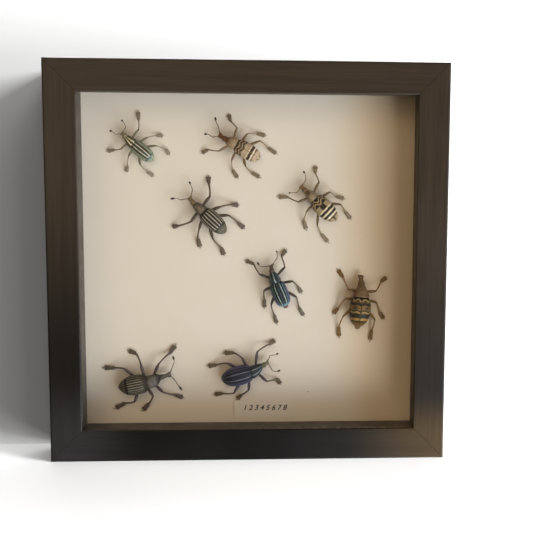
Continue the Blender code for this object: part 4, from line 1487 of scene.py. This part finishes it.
def make_weevil(name, weevil, templates, shared):
    """Models one weevil on the origin, joins it and puts it in its place on the board."""
    coat = COATS[name]
    look = bpy.context.scene.weevil_look
    groove = look.groove * (1.0 if "ribs" in coat else 0.5)
    shell = coated(f"{name}_wing_cases", coat["shell"], coat["patches"], coat.get("ribs"))
    thorax = coated(f"{name}_thorax", coat["thorax"], coat["thorax_patches"])
    limbs = limb_finish(f"{name}_limbs", coat["limbs"])
    parts = [
        dress(make_shell(weevil, groove), shell),
        dress(make_thorax(weevil, look.relief), thorax),
        dress(make_head(weevil), coated(f"{name}_head", coat["head"], rough=0.36)),
    ]
    if weevil["abdomen"]:
        parts.append(dress(make_tail(weevil), coated(f"{name}_tail", coat["tail"])))
    for number, (kind, matrix) in enumerate(limb_places(weevil)):
        piece = dress(own_copy(templates[kind], f"{kind}_{number}"), shared.get(kind, limbs))
        piece.data.transform(matrix)
        parts.append(piece)
    body = join(parts, f"specimen_{name}")
    face_outwards(body)
    right, up = weevil["at"]
    turn = math.radians(weevil["heading"])
    forward = Vector((math.cos(turn), 0.0, math.sin(turn)))
    left = Vector((-math.sin(turn), 0.0, math.cos(turn)))
    spot = Vector((right * MM, BOARD_FACE, CENTRE.z + up * MM))
    place = Matrix((forward, left, Vector((0.0, -1.0, 0.0)))).transposed().to_4x4()
    body.data.transform(Matrix.Translation(spot) @ place)
    smooth(body, 60.0)
    return body


class INSECT_CASE_OT_weevils(bpy.types.Operator):
    """Model the limbs once and build the eight weevils from them"""

    bl_idname = "insect_case.weevils"
    bl_label = "Weevils"

    def execute(self, context):
        templates = make_templates()
        shared = {
            "eye": eye_finish(),
            "pin": metal_finish("pin_steel", tint(190, 188, 184), tint(120, 112, 100), 0.25),
        }
        for name, weevil in WEEVILS.items():
            body = make_weevil(name, {**COMMON, **weevil}, templates, shared)
            deliver(body, f"weevil_{name.split('_')[0]}", f"weevil_{name}")
        discard(*templates.values())
        return {"FINISHED"}


# ---- stage ----

CAMERA_AT = (-0.00169, -0.520, 0.14898)
CAMERA_RIGHT = (0.9984, -0.0557, 0.0043)
CAMERA_UP = (0.0014, 0.1029, 0.9947)
CAMERA_AHEAD = (0.0558, 0.9931, -0.1028)
IMAGE = 550.0
FOCAL_PIXELS = 873.1
SHIFT_PIXELS = 20.0
SENSOR_MM = 36.0
BACKDROP_FADES = (0.45, 0.9)  # metres from the origin
WORLD_SEEN = (0.95, 0.95, 0.95, 1.0)
WORLD_FILL = (1.0, 0.95, 0.88, 1.0)

# A lamp lights the display or the backdrop, not both. Azimuth turns from the front to the right.
# (name, azimuth, height angle, distance, width, height, watts, and a colour other than white)
LAMPS = {
    "display": (
        ("low_front", 42.0, -30.0, 1.3, 1.0, 0.8, 5.37, 0.9, 0.94, 1.0),
        ("low_right", 68.0, -28.0, 1.3, 0.8, 0.8, 9.26, 0.84, 0.91, 1.0),
        ("below", 50.0, -52.0, 1.3, 0.8, 0.8, 8.52, 0.91, 0.95, 1.0),
        ("low_near", 34.0, -38.0, 1.4, 0.7, 0.7, 6.96, 0.95, 0.97, 1.0),
        ("level", 58.0, 4.0, 1.3, 0.9, 0.9, 6.64, 0.87, 0.9, 1.0),
        ("front", 8.0, 14.0, 1.5, 0.9, 0.9, 2.82, 1.0, 0.75, 0.47),
        ("left", -32.0, 6.0, 1.4, 0.8, 0.8, 2.99, 1.0, 0.78, 0.49),
        ("high_left", -14.0, 32.0, 1.4, 0.7, 0.6, 2.87, 1.0, 0.81, 0.64),
        ("back", 205.0, 38.0, 1.5, 0.9, 0.9, 34.0, 1.0, 0.98, 0.95),
    ),
    "backdrop": (
        ("wall_level", 66.0, 0.0, 1.6, 0.8, 0.9, 6.12),
        ("wall_front", 0.0, 12.0, 1.6, 0.8, 0.8, 2.07),
        ("wall_top", 0.0, 80.0, 1.6, 1.2, 1.2, 2.96),
        ("wall_upper", 60.0, 22.0, 1.6, 0.6, 0.6, 33.07),
        ("wall_high", 42.0, 50.0, 1.6, 0.8, 0.8, 6.6),
        ("wall_low", 66.0, -25.0, 1.6, 0.6, 0.6, 10.88),
        ("wall_right", 75.0, -8.0, 1.6, 0.6, 0.6, 40.69),
        ("floor_back", 180.0, 65.0, 1.6, 1.0, 0.8, 11.99),
        ("floor_side", 150.0, 40.0, 1.6, 0.8, 0.8, 6.76),
    ),
}


def add_plane(name, location, rotation):
    select_only()
    bpy.ops.mesh.primitive_plane_add(size=8.0, location=location, rotation=rotation)
    return added(name)


def backdrop_finish(name, see_through):
    """Matt, pale, slightly mottled and gone in the distance.

    A wall lets the view through from behind.
    """
    g = Finish(name, Roughness=1.0, Specular_IOR_Level=0.0)
    mottle = g.ramp(g.noise(g.place, 3.0, 2.0, 0.5), 0.3, 0.7, 0.99, 1.0)
    gone = g.ramp(g.length(g.place), *BACKDROP_FADES)
    if see_through:
        gone = g.calc("MAXIMUM", gone, g.put("NewGeometry")["Backfacing"])
    g.open_up(gone)
    return g.shade(Base_Color=g.shaded(bpy.context.scene.stage_look.floor, mottle))


def add_backdrop():
    """A floor and a wall that only the camera sees, so that light from below passes the floor."""
    floor = dress(add_plane("floor", (0, 0, 0), (0, 0, 0)), backdrop_finish("pale_floor", False))
    wall = add_plane("wall", (0, BACK + 0.5 * MM, 0), UPRIGHT)
    dress(wall, backdrop_finish("pale_wall", True))
    for sheet in (floor, wall):
        for kind in ("diffuse", "glossy", "transmission", "shadow"):
            setattr(sheet, f"visible_{kind}", False)
    return floor, wall


def light_groups(backdrop):
    """What a lamp lights: all but the backdrop, or the backdrop alone."""
    groups = {}
    for lit, state in (("display", "EXCLUDE"), ("backdrop", "INCLUDE")):
        groups[lit] = bpy.data.collections.new(f"lit_{lit}")
        for sheet in backdrop:
            groups[lit].objects.link(sheet)
        for entry in groups[lit].collection_objects:
            entry.light_linking.link_state = state
    return groups


def add_lamp(group, name, azimuth, lift, distance, width, height, power, *colour):
    """A soft panel aimed at the middle of the frame."""
    turn, rise = math.radians(azimuth), math.radians(lift)
    level = math.cos(rise)
    out = Vector((math.sin(turn) * level, -math.cos(turn) * level, math.sin(rise)))
    bpy.ops.object.light_add(type="AREA", location=CENTRE + out * distance)
    lamp = bpy.context.active_object
    lamp.name = name
    lamp.rotation_euler = out.to_track_quat("Z", "Y").to_euler()
    lamp.data.shape = "RECTANGLE"
    lamp.data.size, lamp.data.size_y = width, height
    lamp.data.energy = power * bpy.context.scene.stage_look.lamps
    lamp.data.color = colour or (1.0, 1.0, 1.0)
    lamp.visible_camera = False
    lamp.visible_glossy = lamp.visible_transmission = name != "front"  # or the glass mirrors it
    lamp.light_linking.receiver_collection = group


def add_world(strength):
    """Pale where the camera sees it, and a soft, warm fill everywhere else."""
    world = bpy.data.worlds.new("studio")
    bpy.context.scene.world = world
    world.use_nodes = True
    g = Graph(world.node_tree)
    backdrop = g.tree.nodes["Background"]
    g.feed(backdrop.inputs, {"Color": WORLD_SEEN})
    fill = g.put("Background", {"Color": WORLD_FILL, "Strength": strength})[0]
    seen = g.put("LightPath")["Is Camera Ray"]
    g.end_in("World Output", seen, fill, backdrop.outputs[0])


def add_camera():
    bpy.ops.object.camera_add()
    camera = bpy.context.active_object
    camera.name = "camera"
    turn = Matrix((CAMERA_RIGHT, CAMERA_UP, -Vector(CAMERA_AHEAD))).transposed().to_4x4()
    camera.matrix_world = Matrix.Translation(CAMERA_AT) @ turn
    camera.data.sensor_width = SENSOR_MM
    camera.data.lens = SENSOR_MM * FOCAL_PIXELS / IMAGE
    camera.data.shift_x = -SHIFT_PIXELS / IMAGE
    camera.data.shift_y = SHIFT_PIXELS / IMAGE
    camera.data.clip_start = 0.01
    bpy.context.scene.camera = camera


class INSECT_CASE_OT_stage(bpy.types.Operator):
    """Add the floor, the wall, the lamps and the camera"""

    bl_idname = "insect_case.stage"
    bl_label = "Stage"

    def execute(self, context):
        context.scene.view_settings.view_transform = "Standard"
        groups = light_groups(add_backdrop())
        for lit, lamps in LAMPS.items():
            for lamp in lamps:
                add_lamp(groups[lit], *lamp)
        add_world(context.scene.stage_look.fill)
        add_camera()
        return {"FINISHED"}


# ---- the panel, and running it all ----

LOOKS = {
    "moulding_look": MouldingLook,
    "case_look": CaseLook,
    "weevil_look": WeevilLook,
    "stage_look": StageLook,
}
STEPS = (
    INSECT_CASE_OT_moulding,
    INSECT_CASE_OT_glass,
    INSECT_CASE_OT_lining,
    INSECT_CASE_OT_board,
    INSECT_CASE_OT_label,
    INSECT_CASE_OT_back,
    INSECT_CASE_OT_weevils,
    INSECT_CASE_OT_stage,
)


class INSECT_CASE_PT_panel(bpy.types.Panel):
    """Lists the steps and the settings"""

    bl_idname = "INSECT_CASE_PT_panel"
    bl_label = "Weevil display"
    bl_space_type = "VIEW_3D"
    bl_region_type = "UI"
    bl_category = "Display"

    def draw(self, context):
        for step in STEPS:
            self.layout.operator(step.bl_idname)
        for name, look in LOOKS.items():
            box = self.layout.box()
            for key in look.__annotations__:
                box.prop(getattr(context.scene, name), key)


def register():
    for kind in (*LOOKS.values(), *STEPS, INSECT_CASE_PT_panel):
        bpy.utils.register_class(kind)
    for name, look in LOOKS.items():
        setattr(bpy.types.Scene, name, bpy.props.PointerProperty(type=look))


def unregister():
    for name in LOOKS:
        delattr(bpy.types.Scene, name)
    for kind in reversed((*LOOKS.values(), *STEPS, INSECT_CASE_PT_panel)):
        bpy.utils.unregister_class(kind)


def main():
    register()
    bpy.ops.insect_case.moulding()
    bpy.ops.insect_case.glass()
    bpy.ops.insect_case.lining()
    bpy.ops.insect_case.board()
    bpy.ops.insect_case.label()
    bpy.ops.insect_case.back()
    bpy.ops.insect_case.weevils()
    bpy.ops.insect_case.stage()


if __name__ == "__main__":
    main()
